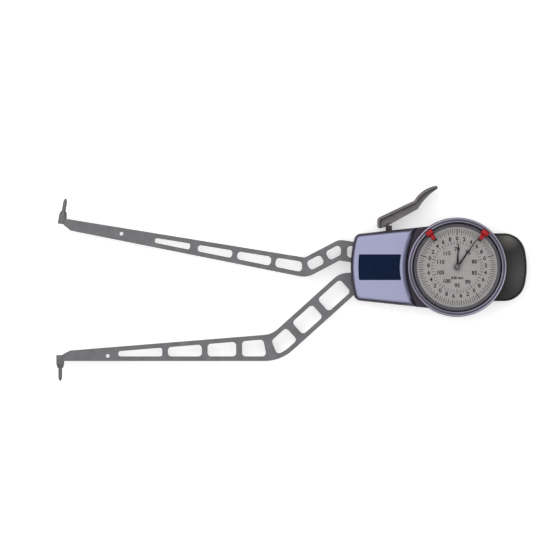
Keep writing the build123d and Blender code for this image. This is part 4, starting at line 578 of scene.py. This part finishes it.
def lettering(words, height, place):
    """Raised figures of a height with their middle at a place, as triangles in millimetres. A figure
    stands about 0.7 of the font's size high, and the offset makes its strokes bolder."""
    curve = bpy.data.curves.new("figures", "FONT")
    curve.body = words
    curve.size = height / 0.7
    curve.align_x = "CENTER"
    curve.align_y = "CENTER"
    curve.extrude = (print_front - print_back) / 2
    curve.offset = 0.12
    curve.resolution_u = 3
    holder = bpy.data.objects.new("figures", curve)
    bpy.context.scene.collection.objects.link(holder)
    mesh = bpy.data.meshes.new_from_object(holder.evaluated_get(bpy.context.evaluated_depsgraph_get()))
    work = bmesh.new()
    work.from_mesh(mesh)
    bmesh.ops.remove_doubles(work, verts=work.verts, dist=0.0005)
    bmesh.ops.triangulate(work, faces=work.faces)
    bmesh.ops.recalc_face_normals(work, faces=work.faces)
    points = np.array([vertex.co[:] for vertex in work.verts])
    work.verts.index_update()
    faces = np.array([[vertex.index for vertex in face.verts] for face in work.faces])
    work.free()
    bpy.data.objects.remove(holder)
    bpy.data.curves.remove(curve)
    bpy.data.meshes.remove(mesh)
    middle = (points.min(axis=0) + points.max(axis=0)) / 2
    return points - middle + np.array([place[0], place[1], (print_back + print_front) / 2]), faces


def on_dial(turn, radius):
    """The place on the dial at a clockwise turn in degrees from the top."""
    return radius * sin(radians(turn)), radius * cos(radians(turn))


# Outside stand the tenths of a millimetre in steps of 2 and inside the millimetres from 70 in steps of 5,
# with the three-digit ones a little nearer to the middle. Under the hub stands the worth of one division.
figure_height = 2.5
figures = []
for i in range(25):
    figures.append(lettering(str(2 * i % 10), figure_height, on_dial(4 * i * fine_pitch, 19.0)))
for reading in range(70, 120, 5):
    place = on_dial((reading - 70) * coarse_pitch, 12.0 if reading < 100 else 11.3)
    figures.append(lettering(str(reading), figure_height, place))
figures.append(lettering("0.05 mm", 1.6, (0.0, -7.0)))
piece_from("dial_figures", *joined(figures), "bezel", "hand_black", 20)


# Stage
def plain_floor():
    """A wide pale floor just under the back face. Seen directly, mirrored or through the crystal it gets a
    little lift towards white."""
    reach = 4.0
    level = -0.2 * mm
    corners = [(x * reach, y * reach, level) for x, y in ((-1, -1), (1, -1), (1, 1), (-1, 1))]
    mesh = bpy.data.meshes.new("floor")
    mesh.from_pydata(corners, [], [(0, 1, 2, 3)])
    floor = bpy.data.objects.new("floor", mesh)
    bpy.context.scene.collection.objects.link(floor)
    paper = bpy.data.materials.new("pale_paper")
    paper.use_nodes = True
    tree = paper.node_tree
    shader = tree.nodes["Principled BSDF"]
    shader.inputs["Base Color"].default_value = (0.93, 0.93, 0.93, 1)
    shader.inputs["Roughness"].default_value = 0.9
    shader.inputs["Specular IOR Level"].default_value = 0.1
    rays = tree.nodes.new("ShaderNodeLightPath")
    seen = rays.outputs["Is Camera Ray"]
    for ray in ("Is Glossy Ray", "Is Transmission Ray"):
        either = tree.nodes.new("ShaderNodeMath")
        either.operation = "MAXIMUM"
        tree.links.new(seen, either.inputs[0])
        tree.links.new(rays.outputs[ray], either.inputs[1])
        seen = either.outputs["Value"]
    lift = tree.nodes.new("ShaderNodeMath")
    lift.operation = "MULTIPLY"
    lift.inputs[1].default_value = 0.38
    tree.links.new(seen, lift.inputs[0])
    shader.inputs["Emission Color"].default_value = (1, 1, 1, 1)
    tree.links.new(lift.outputs["Value"], shader.inputs["Emission Strength"])
    mesh.materials.append(paper)


gauge_middle = (-0.1, 0.0, 0.01)


def soft_lamp(name, place, size, power):
    """A square area lamp aimed at the middle of the gauge."""
    data = bpy.data.lights.new(name, "AREA")
    data.shape = "SQUARE"
    data.size = size
    data.energy = power
    lamp = bpy.data.objects.new(name, data)
    bpy.context.scene.collection.objects.link(lamp)
    lamp.location = place
    away = np.array(place) - np.array(gauge_middle)
    lamp.rotation_mode = "QUATERNION"
    lamp.rotation_quaternion = Vector(away.tolist()).to_track_quat("Z", "Y")


def studio_sky():
    """A sky that is grey at the horizon and bright overhead."""
    world = bpy.data.worlds.new("studio")
    world.use_nodes = True
    tree = world.node_tree
    coordinates = tree.nodes.new("ShaderNodeTexCoord")
    apart = tree.nodes.new("ShaderNodeSeparateXYZ")
    ramp = tree.nodes.new("ShaderNodeMapRange")
    for socket, number in (("From Min", 0.1), ("From Max", 0.9), ("To Min", 0.3), ("To Max", 1.0)):
        ramp.inputs[socket].default_value = number
    tree.links.new(coordinates.outputs["Generated"], apart.inputs["Vector"])
    tree.links.new(apart.outputs["Z"], ramp.inputs["Value"])
    tree.links.new(ramp.outputs["Result"], tree.nodes["Background"].inputs["Strength"])
    tree.nodes["Background"].inputs["Color"].default_value = (1, 1, 1, 1)
    bpy.context.scene.world = world


plain_floor()
studio_sky()
soft_lamp("key", (-0.7, 0.6, 1.5), 1.6, 9.0)
soft_lamp("fill", (0.9, -0.5, 1.5), 1.6, 3.0)

# Camera straight above the photograph's middle, with a lens so long that nothing leans outwards. The
# picture is view_width wide at the level of the face.
view_width = 0.3696
face_level = 0.02
camera_data = bpy.data.cameras.new("camera")
camera_data.lens = 900.0
camera_data.sensor_width = 36.0
camera_height = view_width * camera_data.lens / camera_data.sensor_width
camera = bpy.data.objects.new("camera", camera_data)
bpy.context.scene.collection.objects.link(camera)
camera.location = (-0.11689, -0.00845, camera_height + face_level)
bpy.context.scene.camera = camera
bpy.context.scene.view_settings.view_transform = "Standard"
